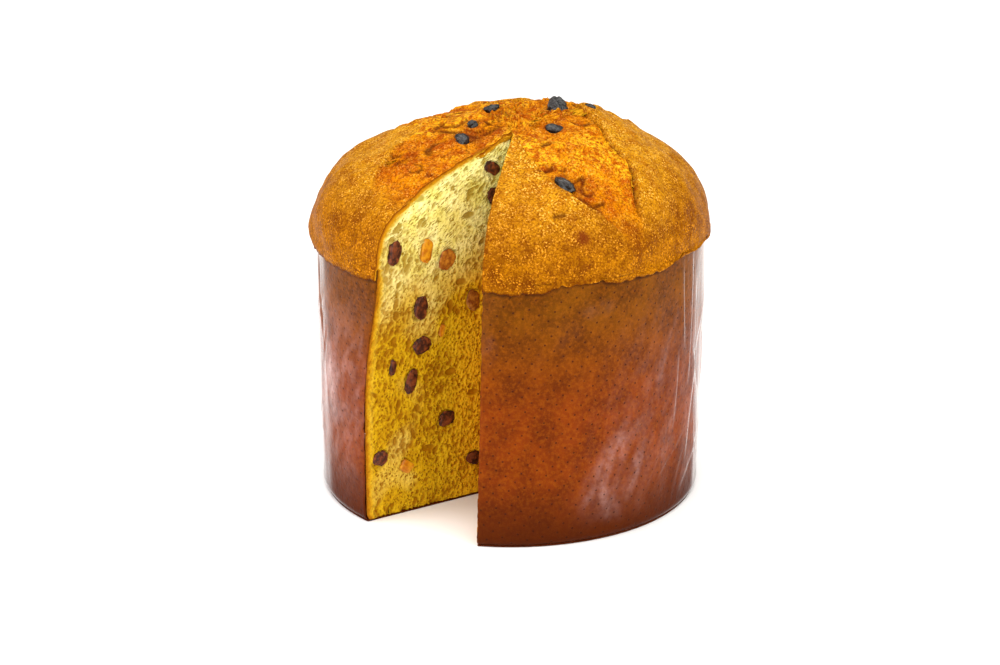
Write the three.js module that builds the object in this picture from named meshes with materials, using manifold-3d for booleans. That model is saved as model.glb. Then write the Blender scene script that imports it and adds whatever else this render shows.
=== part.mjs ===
// A tall panettone in its paper case, with one wedge cut out of the front.
// The loaf is one solid: a round body, a domed crust whose lip hangs over the rim of the case, and two cut
// faces. The case is a thin wall and a base disc, cut through with the loaf. Raisins and candied peel lie in
// sockets on the crust and in both cut faces.
// Millimetres, +Z up, origin at the middle of the underside, with the wedge towards -Y.
import * as THREE from "three";
import { mergeVertices } from "three/addons/utils/BufferGeometryUtils.js";
import Module from "manifold-3d";

const wasm = await Module();
wasm.setup();

// Driving dimensions of the case
const CASE_HEIGHT = 120;
const CASE_BOTTOM_RADIUS = 84.1;
const CASE_TOP_RADIUS = 85.6;
const PAPER = 0.6;
const BASE_THICKNESS = 0.8;
const FOLD_RADIUS = 3.4;
const FOLD_INSET = 1.5;
const GAP = 0.3;

// Driving dimensions of the dome: a superellipse whose peak leans to one side
const DOME_RADIUS = 87.3;
const DOME_START = 119;
const DOME_RISE = 56.2;
const DOME_HEIGHT_POWER = 2.445;
const DOME_RADIUS_POWER = 1.103;
const DOME_TIP_ROUNDING = 0.06;
const LEAN_ANGLE = THREE.MathUtils.degToRad(26.5);
const LEAN = 20;
const LEAN_POWER = 3.745;
const LIP_HEIGHT = 115.4;
const LIP_TILT = 2.4;
const LIP_RAGGED = 0.7;

// Driving dimensions of the wedge
const WEDGE_REACH = 130;
const WEDGE_LOW = -6;
const WEDGE_HIGH = 196;
const WEDGE_LEVELS = 18;
const APEX_LOW = new THREE.Vector2(2, -19);
const APEX_HIGH = new THREE.Vector2(13.5, -23);
const APEX_HIGH_AT = 167;

// Mesh densities
const SECTORS = 90;
const DOME_RINGS = 21;
const LUMP_DETAIL = 1;
const LUMP_BUMP = 0.12;
const SOCKET_GAP = 0.4;
const SIMPLIFY_BY = 0.06;

// The four flaps of skin that the baker's cross cut leaves. Each starts at its tip, this far from the middle,
// and its edge rises to tip + rise, as a tanh of the distance to the side over span.
const FLAPS = [
  { angle: 25, tip: 38.5, rise: 24, span: 50 },
  { angle: 115, tip: 41, rise: 23, span: 36 },
  { angle: 205, tip: 40, rise: 24, span: 38 },
  { angle: 295, tip: 44, rise: 24, span: 27 },
];
const FLAP_LIFT = 1.2;
const FLAP_EDGE = 3.6;
const FLAP_FADE = 16;
const FLAP_GROOVE = 1;
const FLAP_GROOVE_WIDTH = 3.6;
const CUT_RUNS_OUT = [58, 76];
const LUMPS = 0.5;

// Soft folds of dough in the opened middle, each from one point to another, in the top view, and one dent.
const FOLDS = [
  { from: [26, -29], to: [58, -24], height: 1.3, width: 4.5 },
  { from: [48, -34], to: [68, -31], height: 1, width: 4.5 },
  { from: [-34, 34], to: [-22, 60], height: 1.3, width: 6 },
  { from: [-50, 16], to: [-70, 26], height: 1.2, width: 6 },
  { from: [-30, -26], to: [-20, -42], height: 0.9, width: 4.5 },
  { from: [32, 43], to: [52, 33], height: -1.6, width: 13 },
];

// The fruit that shows in the cut faces: along is the distance from the inner edge of the cut, up the height,
// size the width, height and depth behind the face, turn the tilt to the right as it is seen, in degrees.
const LEFT_FRUIT = [
  { kind: "raisin", along: 59.3, up: 124.3, size: [7.2, 11.6, 4], turn: 8 },
  { kind: "raisin", along: 44.3, up: 96.3, size: [6.8, 11.6, 3.7], turn: 6 },
  { kind: "raisin", along: 41.3, up: 77.5, size: [9, 8.6, 4], turn: -20 },
  { kind: "raisin", along: 55.6, up: 69.9, size: [3.4, 7.6, 3.1], turn: 8 },
  { kind: "raisin", along: 45.9, up: 61.5, size: [5.6, 11, 3.4], turn: 12 },
  { kind: "raisin", along: 16.8, up: 94, size: [7.2, 10.4, 3.7], turn: -6 },
  { kind: "raisin", along: 10.5, up: 153, size: [9.4, 6.6, 3.7], turn: 28 },
  { kind: "raisin", along: 9.3, up: 140.8, size: [6.4, 7, 3.4], turn: 20 },
  { kind: "raisin", along: 32.4, up: 115.7, size: [8, 9.4, 3.4], turn: 24 },
  { kind: "raisin", along: 27, up: 40, size: [8.5, 6.5, 3.7], turn: -15 },
  { kind: "raisin", along: 60, up: 28, size: [6.5, 8.5, 3.7], turn: 30 },
  { kind: "raisin", along: 12, up: 18, size: [7.5, 6, 3.4], turn: 10 },
  { kind: "peel", along: 43.2, up: 121.5, size: [5.6, 11.4, 3.1], turn: 12 },
  { kind: "peel", along: 32, up: 82.9, size: [2.6, 5, 2.5], turn: 4 },
  { kind: "peel", along: 47, up: 22, size: [6, 5, 3.1], turn: 35 },
];
const RIGHT_FRUIT = [
  { kind: "raisin", along: 20, up: 146, size: [9, 7, 3.7], turn: 14 },
  { kind: "raisin", along: 47, up: 127, size: [7, 10, 3.7], turn: -18 },
  { kind: "raisin", along: 33, up: 104, size: [9.5, 7.5, 4], turn: 30 },
  { kind: "raisin", along: 53, up: 88, size: [6.5, 9.5, 3.7], turn: 10 },
  { kind: "raisin", along: 16, up: 78, size: [7, 8.5, 3.4], turn: -25 },
  { kind: "raisin", along: 40, up: 56, size: [8.5, 7, 3.7], turn: 40 },
  { kind: "raisin", along: 24, up: 33, size: [8, 6.5, 3.7], turn: -8 },
  { kind: "raisin", along: 55, up: 24, size: [7, 9, 3.7], turn: 16 },
  { kind: "peel", along: 30, up: 126, size: [7, 5.5, 3.1], turn: -30 },
  { kind: "peel", along: 14, up: 112, size: [5, 6.5, 3.1], turn: 20 },
  { kind: "peel", along: 30, up: 68, size: [6, 5, 3.1], turn: 45 },
  { kind: "peel", along: 41, up: 14, size: [6.5, 5, 3.1], turn: -12 },
];
const FACE_PROUD = 0.9;
const PEEL_POWER = 3.4;

// Raisins baked onto the crust: at is the place in the top view, size the length, the width and how far it
// stands proud, turn the angle of its length in the top view, in degrees.
const TOP_RAISINS = [
  { at: [19.4, 6], size: [9, 8, 5.6], turn: 70 },
  { at: [-10.3, 1.9], size: [8.2, 6, 2.2], turn: 10 },
  { at: [-7.8, -30.7], size: [7.2, 6, 2.1], turn: -50 },
  { at: [-8.6, -18.8], size: [5, 4, 1.5], turn: 20 },
  { at: [26.6, -12], size: [7.6, 5.6, 1.6], turn: 35 },
  { at: [46.5, -43.2], size: [11, 6.4, 2.4], turn: -32 },
  { at: [31.1, 14.9], size: [6.6, 3.6, 1.5], turn: -20 },
  { at: [-26, 53], size: [8, 6.4, 2.3], turn: 60 },
  { at: [14, 60], size: [9, 6.6, 2.5], turn: -15 },
  { at: [-59, 31], size: [7, 6, 2], turn: 25 },
];
const TOP_SUNK = 2.6;
const TANGENT_REACH = 2.5;

// The largest bubbles that the knife opened: along, up, width, height
const LEFT_BUBBLES = [
  [48, 146, 6, 3.4],
  [22, 134, 7, 3.4],
  [24, 104, 6, 3.6],
  [26, 62, 6.4, 4],
  [14, 50, 6, 3.4],
  [36, 28, 7, 3.6],
];
const RIGHT_BUBBLES = [
  [34, 141, 7, 3.6],
  [45, 110, 6, 3.4],
  [24, 92, 7, 4],
  [14, 60, 6, 3.6],
  [30, 47, 7, 3.4],
  [38, 30, 6, 3.4],
];
const BUBBLE_DEPTH = 1.5;

const CRUST_COLOUR = 0xb5691c;
const PAPER_COLOUR = 0x8a4416;
const BASE_COLOUR = 0x7a4018;
const RAISIN_COLOUR = 0x4e2412;
const BAKED_RAISIN_COLOUR = 0x2b2a2e;
const PEEL_COLOUR = 0xd98a1c;

function degrees(angle) {
  return THREE.MathUtils.degToRad(angle);
}

function mix(from, to, share) {
  return from + (to - from) * share;
}

// Outer radius of the paper wall at a height: a slight taper, and a small inward fold at the foot.
function caseRadius(z) {
  const wall = mix(CASE_BOTTOM_RADIUS, CASE_TOP_RADIUS, z / CASE_HEIGHT);
  const fold = THREE.MathUtils.clamp(1 - (z - BASE_THICKNESS) / FOLD_RADIUS, 0, 1);
  return wall - FOLD_INSET * fold * fold;
}

// Lower edge of the crust's lip, higher on the side that the dome leans to, and a little ragged.
function lipHeight(angle) {
  const tilt = LIP_TILT * Math.cos(angle - LEAN_ANGLE);
  const ragged = Math.sin(11 * angle + 0.6) * 0.6 + Math.sin(19 * angle + 2.2) * 0.4;
  return LIP_HEIGHT + tilt + LIP_RAGGED * ragged;
}

// Height of the crust's relief, along the surface normal, at a point of the top view.
function crustRelief(x, y) {
  const broad = Math.sin(x / 17 + 1.3) * Math.cos(y / 21 - 0.4);
  const fine = 0.6 * Math.sin((x + y) / 13 + 2.1);
  const scored = 1 - THREE.MathUtils.smoothstep(Math.hypot(x, y), ...CUT_RUNS_OUT);
  let relief = LUMPS * (broad + fine - 0.6);
  for (const flap of FLAPS) {
    const angle = degrees(flap.angle);
    const outwards = x * Math.cos(angle) + y * Math.sin(angle);
    const sideways = -x * Math.sin(angle) + y * Math.cos(angle);
    if (outwards < 0) continue;
    const edge = flap.tip + flap.rise * Math.tanh(Math.abs(sideways) / flap.span);
    const inside = outwards - edge;
    const rise = THREE.MathUtils.smoothstep(inside, -FLAP_EDGE, FLAP_EDGE);
    const skin = rise * Math.exp(-Math.max(inside, 0) / FLAP_FADE);
    const groove = Math.exp(-(((inside + FLAP_EDGE) / FLAP_GROOVE_WIDTH) ** 2));
    relief += scored * (FLAP_LIFT * skin - FLAP_GROOVE * groove);
  }
  for (const fold of FOLDS) {
    const from = new THREE.Vector2(...fold.from);
    const along = new THREE.Vector2(...fold.to).sub(from);
    const offset = new THREE.Vector2(x, y).sub(from);
    const share = THREE.MathUtils.clamp(offset.dot(along) / along.lengthSq(), 0, 1);
    const away = offset.sub(along.multiplyScalar(share)).length();
    relief += fold.height * Math.exp(-((away / fold.width) ** 2));
  }
  return relief;
}

// A point of the crust: angle runs round the loaf, climb from 0 at the lip to a quarter turn at the peak.
function crustPoint(angle, climb) {
  const level = Math.sin(climb) ** (2 / DOME_HEIGHT_POWER);
  const across = Math.cos(climb) ** (2 / DOME_RADIUS_POWER);
  const lean = LEAN * level ** LEAN_POWER;
  const x = lean * Math.cos(LEAN_ANGLE) + DOME_RADIUS * across * Math.cos(angle);
  const y = lean * Math.sin(LEAN_ANGLE) + DOME_RADIUS * across * Math.sin(angle);
  const rounding = DOME_TIP_ROUNDING * DOME_RISE * Math.exp(-((across / 0.12) ** 2));
  const z = DOME_START + DOME_RISE * level - rounding;
  const onTop = THREE.MathUtils.smoothstep(climb, 0, 0.5);
  const relief = crustRelief(x, y) * (0.25 + 0.75 * onTop) * THREE.MathUtils.smoothstep(climb, -0.1, 0.15);
  return new THREE.Vector3(
    x + relief * Math.cos(climb) * Math.cos(angle),
    y + relief * Math.cos(climb) * Math.sin(angle),
    z + relief * Math.sin(climb),
  );
}

// A closed surface from rings of points, with a single point at each end.
function ringsGeometry(first, rings, last, sectors) {
  const positions = [...first.toArray()];
  for (const ring of rings) {
    for (let i = 0; i < sectors; i++) {
      positions.push(...ring((i / sectors) * Math.PI * 2).toArray());
    }
  }
  positions.push(...last.toArray());
  const index = [];
  const at = (ring, i) => 1 + ring * sectors + (i % sectors);
  const end = 1 + rings.length * sectors;
  for (let i = 0; i < sectors; i++) {
    index.push(0, at(0, i + 1), at(0, i));
    for (let ring = 0; ring + 1 < rings.length; ring++) {
      index.push(at(ring, i), at(ring, i + 1), at(ring + 1, i + 1));
      index.push(at(ring, i), at(ring + 1, i + 1), at(ring + 1, i));
    }
    index.push(at(rings.length - 1, i), at(rings.length - 1, i + 1), end);
  }
  return indexedGeometry(positions, index);
}

// A closed band from a profile that closes on itself, carried round the axis.
function bandGeometry(profile, sectors) {
  const positions = [];
  const index = [];
  const count = profile.length;
  for (let i = 0; i < sectors; i++) {
    const angle = (i / sectors) * Math.PI * 2;
    for (const [radius, z] of profile) {
      positions.push(radius * Math.cos(angle), radius * Math.sin(angle), z);
    }
    const next = (i + 1) % sectors;
    for (let k = 0; k < count; k++) {
      const a = i * count + k;
      const b = i * count + ((k + 1) % count);
      const c = next * count + ((k + 1) % count);
      const d = next * count + k;
      index.push(a, d, c, a, c, b);
    }
  }
  return indexedGeometry(positions, index);
}

function indexedGeometry(positions, index) {
  const geometry = new THREE.BufferGeometry();
  geometry.setAttribute("position", new THREE.Float32BufferAttribute(positions, 3));
  geometry.setIndex(index);
  return geometry;
}

function solid(geometry) {
  const bare = geometry.clone();
  bare.deleteAttribute("normal");
  bare.deleteAttribute("uv");
  const merged = mergeVertices(bare, 1e-4);
  return new wasm.Manifold(
    new wasm.Mesh({
      numProp: 3,
      vertProperties: new Float32Array(merged.attributes.position.array),
      triVerts: new Uint32Array(merged.index.array),
    }),
  );
}

function geometryOf(manifold) {
  const mesh = manifold.simplify(SIMPLIFY_BY).getMesh();
  const geometry = new THREE.BufferGeometry();
  geometry.setAttribute("position", new THREE.BufferAttribute(new Float32Array(mesh.vertProperties), 3));
  geometry.setIndex(new THREE.BufferAttribute(new Uint32Array(mesh.triVerts), 1));
  return geometry;
}

// The inner edge of the cut at a height.
function apex(z) {
  return new THREE.Vector2().lerpVectors(APEX_LOW, APEX_HIGH, z / APEX_HIGH_AT);
}

// Where each cut leaves the loaf, as an angle round it. The left cut swings back below the rim of the case.
const CUTS = {
  left: (z) => degrees(-112 + 8.7 / (1 + Math.exp(-(z - 90) / 14))),
  right: (z) => degrees(-73.3 + 0.0175 * z),
};

// Direction along a cut face, from its inner edge outwards, at a height.
function cutDirection(side, z) {
  const angle = CUTS[side](z);
  const rim = new THREE.Vector2(Math.cos(angle), Math.sin(angle)).multiplyScalar(CASE_TOP_RADIUS);
  return rim.sub(apex(z)).normalize();
}

// A point of a cut face, and the axes there: y runs into the loaf, z up, and x to the right as it is seen.
function cutFrame(side, along, up) {
  const direction = cutDirection(side, up);
  const origin = apex(up).addScaledVector(direction, along);
  const turn = side === "left" ? -1 : 1;
  const x = new THREE.Vector3(direction.x * turn, direction.y * turn, 0);
  const y = new THREE.Vector3(-direction.y * turn, direction.x * turn, 0);
  const frame = new THREE.Matrix4().makeBasis(x, y, new THREE.Vector3(0, 0, 1));
  return frame.setPosition(origin.x, origin.y, up);
}

// The wedge that is missing: a three-sided section at each level, lofted from below the base to above the
// peak.
function wedgeGeometry() {
  const positions = [];
  for (let i = 0; i < WEDGE_LEVELS; i++) {
    const z = mix(WEDGE_LOW, WEDGE_HIGH, i / (WEDGE_LEVELS - 1));
    const inner = apex(z);
    const left = inner.clone().addScaledVector(cutDirection("left", z), WEDGE_REACH);
    const right = inner.clone().addScaledVector(cutDirection("right", z), WEDGE_REACH);
    for (const point of [inner, left, right]) positions.push(point.x, point.y, z);
  }
  const index = [0, 2, 1];
  for (let i = 0; i + 1 < WEDGE_LEVELS; i++) {
    for (let k = 0; k < 3; k++) {
      const a = i * 3 + k;
      const b = i * 3 + ((k + 1) % 3);
      index.push(a, b, b + 3, a, b + 3, a + 3);
    }
  }
  const top = (WEDGE_LEVELS - 1) * 3;
  index.push(top, top + 1, top + 2);
  return indexedGeometry(positions, index);
}

// A dried fruit or a dice of peel: a ball with a lumpy skin, flatter on the side that shows.
// Its width runs along x and its height along z; it stands proud of y = 0 and is sunk behind it.
// A dice of peel is a superellipsoid, so its sides are flatter.
function lumpGeometry({ width, height, proud, sunk, power, seed }, grow) {
  const geometry = new THREE.IcosahedronGeometry(1, LUMP_DETAIL);
  const position = geometry.attributes.position;
  const point = new THREE.Vector3();
  for (let i = 0; i < position.count; i++) {
    point.fromBufferAttribute(position, i).normalize();
    const [a, b, c] = point.toArray().map((value) => Math.abs(value) ** power);
    const lumpy = LUMP_BUMP * (Math.sin(4 * point.x + seed) * Math.sin(5 * point.y + 2 * seed) - 0.5);
    point.multiplyScalar((1 + lumpy) / (a + b + c) ** (1 / power));
    const depth = point.y < 0 ? proud : sunk;
    const scale = new THREE.Vector3(width / 2 + grow, depth + grow, height / 2 + grow);
    position.setXYZ(i, ...point.multiply(scale).toArray());
  }
  return geometry;
}

// The fruit in a cut face lies in the plane of the cut.
function faceFruit(side, fruit, seed) {
  const turn = new THREE.Matrix4().makeRotationY(degrees(fruit.turn));
  const place = cutFrame(side, fruit.along, fruit.up).multiply(turn);
  const [width, height, sunk] = fruit.size;
  const power = fruit.kind === "peel" ? PEEL_POWER : 2;
  return { place, width, height, proud: FACE_PROUD, sunk, power, seed };
}

// The height of the crust and its slope at a place in the top view, found by stepping along the surface.
function crustAt(x, y) {
  let angle = Math.atan2(y, x);
  let climb = Math.PI / 4;
  for (let step = 0; step < 60; step++) {
    const here = crustPoint(angle, climb);
    const d = 1e-3;
    const byAngle = crustPoint(angle + d, climb).sub(here).divideScalar(d);
    const byClimb = crustPoint(angle, climb + d).sub(here).divideScalar(d);
    const det = byAngle.x * byClimb.y - byAngle.y * byClimb.x;
    const dx = x - here.x;
    const dy = y - here.y;
    angle += (0.6 * (dx * byClimb.y - dy * byClimb.x)) / det;
    climb += (0.6 * (byAngle.x * dy - byAngle.y * dx)) / det;
    climb = THREE.MathUtils.clamp(climb, 0.02, Math.PI / 2 - 0.02);
  }
  return crustPoint(angle, climb);
}

// A raisin on the crust lies along the surface, partly sunk into it.
function topRaisin(raisin, seed) {
  const [x, y] = raisin.at;
  const here = crustAt(x, y);
  const alongX = crustAt(x + TANGENT_REACH, y).sub(crustAt(x - TANGENT_REACH, y)).normalize();
  const alongY = crustAt(x, y + TANGENT_REACH).sub(crustAt(x, y - TANGENT_REACH)).normalize();
  const inwards = new THREE.Vector3().crossVectors(alongY, alongX).normalize();
  const across = new THREE.Vector3().crossVectors(alongX, inwards);
  const frame = new THREE.Matrix4().makeBasis(alongX, inwards, across).setPosition(here);
  const place = frame.multiply(new THREE.Matrix4().makeRotationY(degrees(-raisin.turn)));
  const [width, height, proud] = raisin.size;
  return { place, width, height, proud, sunk: TOP_SUNK, power: 2, seed };
}

function socket(lump) {
  return solid(lumpGeometry(lump, SOCKET_GAP).applyMatrix4(lump.place));
}

function bubble(side, [along, up, width, height]) {
  const geometry = new THREE.IcosahedronGeometry(1, LUMP_DETAIL);
  geometry.scale(width / 2, BUBBLE_DEPTH, height / 2);
  return solid(geometry.applyMatrix4(cutFrame(side, along, up)));
}

function loafGeometry(wedge, lumps) {
  const inside = (z) => caseRadius(z) - PAPER - GAP;
  const floor = BASE_THICKNESS + GAP;
  const flat = (radius, z) => (angle) => {
    return new THREE.Vector3(radius * Math.cos(angle), radius * Math.sin(angle), z);
  };
  const groove = CASE_TOP_RADIUS + GAP;
  const grooveTop = CASE_HEIGHT + GAP;
  const rings = [
    flat(inside(floor), floor),
    flat(inside(floor + FOLD_RADIUS / 2), floor + FOLD_RADIUS / 2),
    flat(inside(floor + FOLD_RADIUS), floor + FOLD_RADIUS),
    flat(inside(grooveTop), grooveTop),
    flat(groove, grooveTop),
    (angle) => flat(groove, lipHeight(angle))(angle),
    (angle) => flat(DOME_RADIUS - 0.4, lipHeight(angle) - 0.2)(angle),
    (angle) => flat(DOME_RADIUS, mix(lipHeight(angle), DOME_START, 0.6))(angle),
  ];
  for (let i = 1; i < DOME_RINGS; i++) {
    const climb = (i / DOME_RINGS) ** 1.15 * (Math.PI / 2) * 0.97;
    rings.push((angle) => crustPoint(angle, climb));
  }
  const peak = crustPoint(0, Math.PI / 2);
  let loaf = solid(ringsGeometry(new THREE.Vector3(0, 0, floor), rings, peak, SECTORS));
  loaf = loaf.subtract(wedge);
  for (const place of LEFT_BUBBLES) loaf = loaf.subtract(bubble("left", place));
  for (const place of RIGHT_BUBBLES) loaf = loaf.subtract(bubble("right", place));
  for (const lump of lumps) loaf = loaf.subtract(socket(lump));
  return geometryOf(loaf);
}

function caseWallGeometry(wedge) {
  const foot = BASE_THICKNESS + GAP;
  const heights = [foot, foot + FOLD_RADIUS / 2, foot + FOLD_RADIUS, CASE_HEIGHT];
  const outer = heights.map((z) => [caseRadius(z), z]);
  const inner = heights.map((z) => [caseRadius(z) - PAPER, z]).reverse();
  return geometryOf(solid(bandGeometry([...outer, ...inner], SECTORS)).subtract(wedge));
}

function caseBaseGeometry(wedge) {
  const radius = caseRadius(BASE_THICKNESS);
  const disc = new THREE.CylinderGeometry(radius, radius, BASE_THICKNESS, SECTORS);
  disc.rotateX(Math.PI / 2).translate(0, 0, BASE_THICKNESS / 2);
  return geometryOf(solid(disc).subtract(wedge));
}

function matte(colour, roughness) {
  return new THREE.MeshStandardMaterial({ color: colour, roughness, metalness: 0 });
}

function named(name, geometry, material) {
  geometry.computeVertexNormals();
  const mesh = new THREE.Mesh(geometry, material);
  mesh.name = name;
  return mesh;
}

function buildPanettone() {
  const wedge = solid(wedgeGeometry());
  const crust = matte(CRUST_COLOUR, 0.75);
  const paper = matte(PAPER_COLOUR, 0.35);
  const card = matte(BASE_COLOUR, 0.6);
  const raisin = matte(RAISIN_COLOUR, 0.5);
  const baked = matte(BAKED_RAISIN_COLOUR, 0.55);
  const peel = matte(PEEL_COLOUR, 0.4);

  const lumps = [];
  const addFace = (side, list) => {
    const counts = { raisin: 0, peel: 0 };
    list.forEach((fruit, i) => {
      counts[fruit.kind] += 1;
      const name = `${side}_${fruit.kind}_${counts[fruit.kind]}`;
      const seed = i * 1.7 + (side === "left" ? 0.4 : 2.9);
      const material = fruit.kind === "peel" ? peel : raisin;
      lumps.push({ name, material, ...faceFruit(side, fruit, seed) });
    });
  };
  addFace("left", LEFT_FRUIT);
  addFace("right", RIGHT_FRUIT);
  TOP_RAISINS.forEach((entry, i) => {
    lumps.push({ name: `top_raisin_${i + 1}`, material: baked, ...topRaisin(entry, i * 2.3 + 1) });
  });

  const group = new THREE.Group();
  group.add(named("loaf", loafGeometry(wedge, lumps), crust));
  group.add(named("case_wall", caseWallGeometry(wedge), paper));
  group.add(named("case_base", caseBaseGeometry(wedge), card));
  for (const lump of lumps) {
    const mesh = named(lump.name, lumpGeometry(lump, 0), lump.material);
    mesh.applyMatrix4(lump.place);
    group.add(mesh);
  }
  return group;
}

export default buildPanettone();
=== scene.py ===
"""A tall panettone in its paper case, with one wedge cut out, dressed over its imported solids.

Shapes are worked out in millimetres in the object's own frame: the origin is the middle of the underside, +Z is
up and the wedge opens towards -Y. They turn to metres when a mesh is made.
"""

import itertools
import logging
import math
from dataclasses import dataclass, field
from enum import Enum

import bpy
import numpy as np
from mathutils import Matrix, Vector

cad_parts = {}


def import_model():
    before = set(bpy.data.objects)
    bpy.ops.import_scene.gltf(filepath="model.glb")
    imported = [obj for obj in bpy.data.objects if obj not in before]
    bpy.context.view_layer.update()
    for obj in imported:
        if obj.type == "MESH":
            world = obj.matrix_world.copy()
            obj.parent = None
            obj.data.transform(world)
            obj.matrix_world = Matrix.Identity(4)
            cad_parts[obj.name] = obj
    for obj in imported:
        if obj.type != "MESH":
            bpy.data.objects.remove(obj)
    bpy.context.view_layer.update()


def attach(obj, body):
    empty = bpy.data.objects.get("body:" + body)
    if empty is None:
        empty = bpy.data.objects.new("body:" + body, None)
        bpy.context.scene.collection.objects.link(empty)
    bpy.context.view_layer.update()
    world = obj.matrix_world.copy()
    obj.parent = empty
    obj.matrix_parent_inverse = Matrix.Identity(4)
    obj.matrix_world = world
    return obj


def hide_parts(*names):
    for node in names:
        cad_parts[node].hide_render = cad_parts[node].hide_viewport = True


Array = np.ndarray
MM = 0.001
LOG = logging.getLogger("panettone")


class Side(Enum):
    """The two cut faces, named as the wedge is faced; the value turns the face's own axes."""

    LEFT = -1
    RIGHT = 1


class Fruit(Enum):
    """What lies in the dough."""

    RAISIN = "raisin"
    PEEL = "peel"


# ---- plain numeric tools


def smooth(value: Array, low: float, high: float) -> Array:
    """Smoothstep: 0 below low, 1 above high, and 3t^2 - 2t^3 between. With low above high it falls instead.

    Args:
        value: the numbers to map.
        low: where the step starts.
        high: where it ends.

    Returns:
        Numbers from 0 to 1.
    """
    t = np.clip((value - low) / (high - low), 0.0, 1.0)
    return t * t * (3.0 - 2.0 * t)


def lattice(cell: Array, seed: int) -> Array:
    """A fixed random number from 0 to 1 for each whole-number cell.

    Args:
        cell: whole numbers, the last axis being the three directions.
        seed: picks another set of numbers.

    Returns:
        One number for each cell.
    """
    c = cell.astype(np.int64)
    n = c[..., 0] * 73856093 ^ c[..., 1] * 19349663 ^ c[..., 2] * 83492791 ^ (seed * 2654435761)
    n = (n ^ (n >> 13)) & 0xFFFFFFFF
    n = (n * 1274126177) & 0xFFFFFFFF
    n = (n ^ (n >> 16)) & 0xFFFFFFFF
    return (n & 0xFFFF) / 65535.0


def noise(points: Array, size: float, seed: int) -> Array:
    """Smooth noise from -1 to 1: random values at the corners of cubes, blended by a smoothstep of the place inside.

    Args:
        points: places in millimetres, the last axis being x, y, z.
        size: side of a cube in millimetres.
        seed: picks another pattern.

    Returns:
        One value for each place.
    """
    q = points / size
    cell = np.floor(q)
    f = q - cell
    f = f * f * (3.0 - 2.0 * f)
    total = np.zeros(points.shape[:-1])
    for corner in itertools.product((0, 1), repeat=3):
        weight = np.prod([f[..., i] if corner[i] else 1.0 - f[..., i] for i in range(3)], axis=0)
        total += weight * lattice(cell + np.array(corner), seed)
    return total * 2.0 - 1.0


def layered(points: Array, size: float, seed: int, layers: int = 3) -> Array:
    """Noise in layers, each half as large and half as strong as the last.

    Args:
        points: places in millimetres.
        size: size of the largest layer in millimetres.
        seed: picks another pattern.
        layers: how many layers.

    Returns:
        One value for each place, mostly between -1 and 1.
    """
    return sum(noise(points, size / 2**i, seed + i) / 2**i for i in range(layers)) / (2.0 - 2.0 ** (1 - layers))


def ridged(points: Array, size: float, seed: int) -> Array:
    """Thin ridges from 0 to 1 where smooth noise crosses zero: one less the noise's size, cubed."""
    return (1.0 - np.abs(noise(points, size, seed))) ** 3


def turned(x: Array, y: Array, angle: float) -> tuple[Array, Array]:
    """The same places in axes turned by an angle in degrees."""
    a = math.radians(angle)
    return x * math.cos(a) + y * math.sin(a), -x * math.sin(a) + y * math.cos(a)


def bell(value: Array, width: float, power: int = 2) -> Array:
    """A bump of height 1 round 0: exp(-(value / width)^power)."""
    return np.exp(-((value / width) ** power))


def run_length(points: Array) -> Array:
    """Distance run along a line of points, from its start."""
    return np.append(0.0, np.cumsum(np.linalg.norm(np.diff(points, axis=0), axis=-1)))


def ray_length(start: Array, way: Array, radius: Array) -> Array:
    """How far rays run until they leave a circle round 0: the larger root of the quadratic.

    Args:
        start: where they start, in the top view.
        way: their unit directions.
        radius: the circle's radius.

    Returns:
        A distance for each, never below 0.
    """
    ahead = (start * way).sum(axis=-1)
    square = ahead**2 - (start**2).sum(axis=-1) + radius**2
    return np.maximum(np.sqrt(np.maximum(square, 0.0)) - ahead, 0.0)


def grid_normals(points: Array) -> Array:
    """Unit normals of a grid of points: the tangent down the rows crossed with the one along the columns.

    Args:
        points: rows by columns by x, y, z.

    Returns:
        An array of the same shape.
    """
    n = np.cross(np.gradient(points, axis=0), np.gradient(points, axis=1))
    return n / np.maximum(np.linalg.norm(n, axis=-1, keepdims=True), 1e-9)


# ---- meshes


def numbered(points: Array, poles: bool = False) -> Array:
    """Vertex numbers of a grid of points; with poles, the first and the last row have one number each."""
    index = np.arange(points.shape[0] * points.shape[1]).reshape(points.shape[:2])
    if poles:
        index[0], index[-1] = index[0, 0], index[-1, 0]
    return index


def band(first: Array, second: Array, flip: bool = False) -> Array:
    """Quads between two rows of vertex numbers, turned over where flip is set."""
    quads = np.stack([first[:-1], first[1:], second[1:], second[:-1]], axis=-1)
    return quads[:, ::-1] if flip else quads


def grid_faces(index: Array, wrap: bool = False) -> Array:
    """Quads between neighbouring rows and columns of a grid of vertex numbers.

    Args:
        index: rows by columns of vertex numbers.
        wrap: whether the last column joins the first.

    Returns:
        Four vertex numbers for each quad.
    """
    right = np.roll(index, -1, axis=1)
    quads = np.stack([index[:-1], index[1:], right[1:], right[:-1]], axis=-1)
    return (quads if wrap else quads[:, :-1]).reshape(-1, 4)


def zipped(first: Array, second: Array, first_at: Array, second_at: Array) -> Array:
    """Triangles between two rows of vertices that run side by side: at each step the row that is behind moves on.

    Args:
        first: vertex numbers of one row.
        second: vertex numbers of the other.
        first_at: how far along each vertex of the first lies, from 0 to 1.
        second_at: the same for the second.

    Returns:
        Three vertex numbers for each triangle.
    """
    steps = np.concatenate([first_at[1:], second_at[1:]])
    order = np.argsort(steps, kind="stable")
    on_first = order < len(first) - 1
    i = np.cumsum(on_first)
    j = np.cumsum(~on_first)
    a = np.where(on_first, first[i - 1], first[i])
    b = np.where(on_first, first[i], second[j])
    c = np.where(on_first, second[j], second[np.maximum(j - 1, 0)])
    return np.stack([a, b, c], axis=-1)


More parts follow.
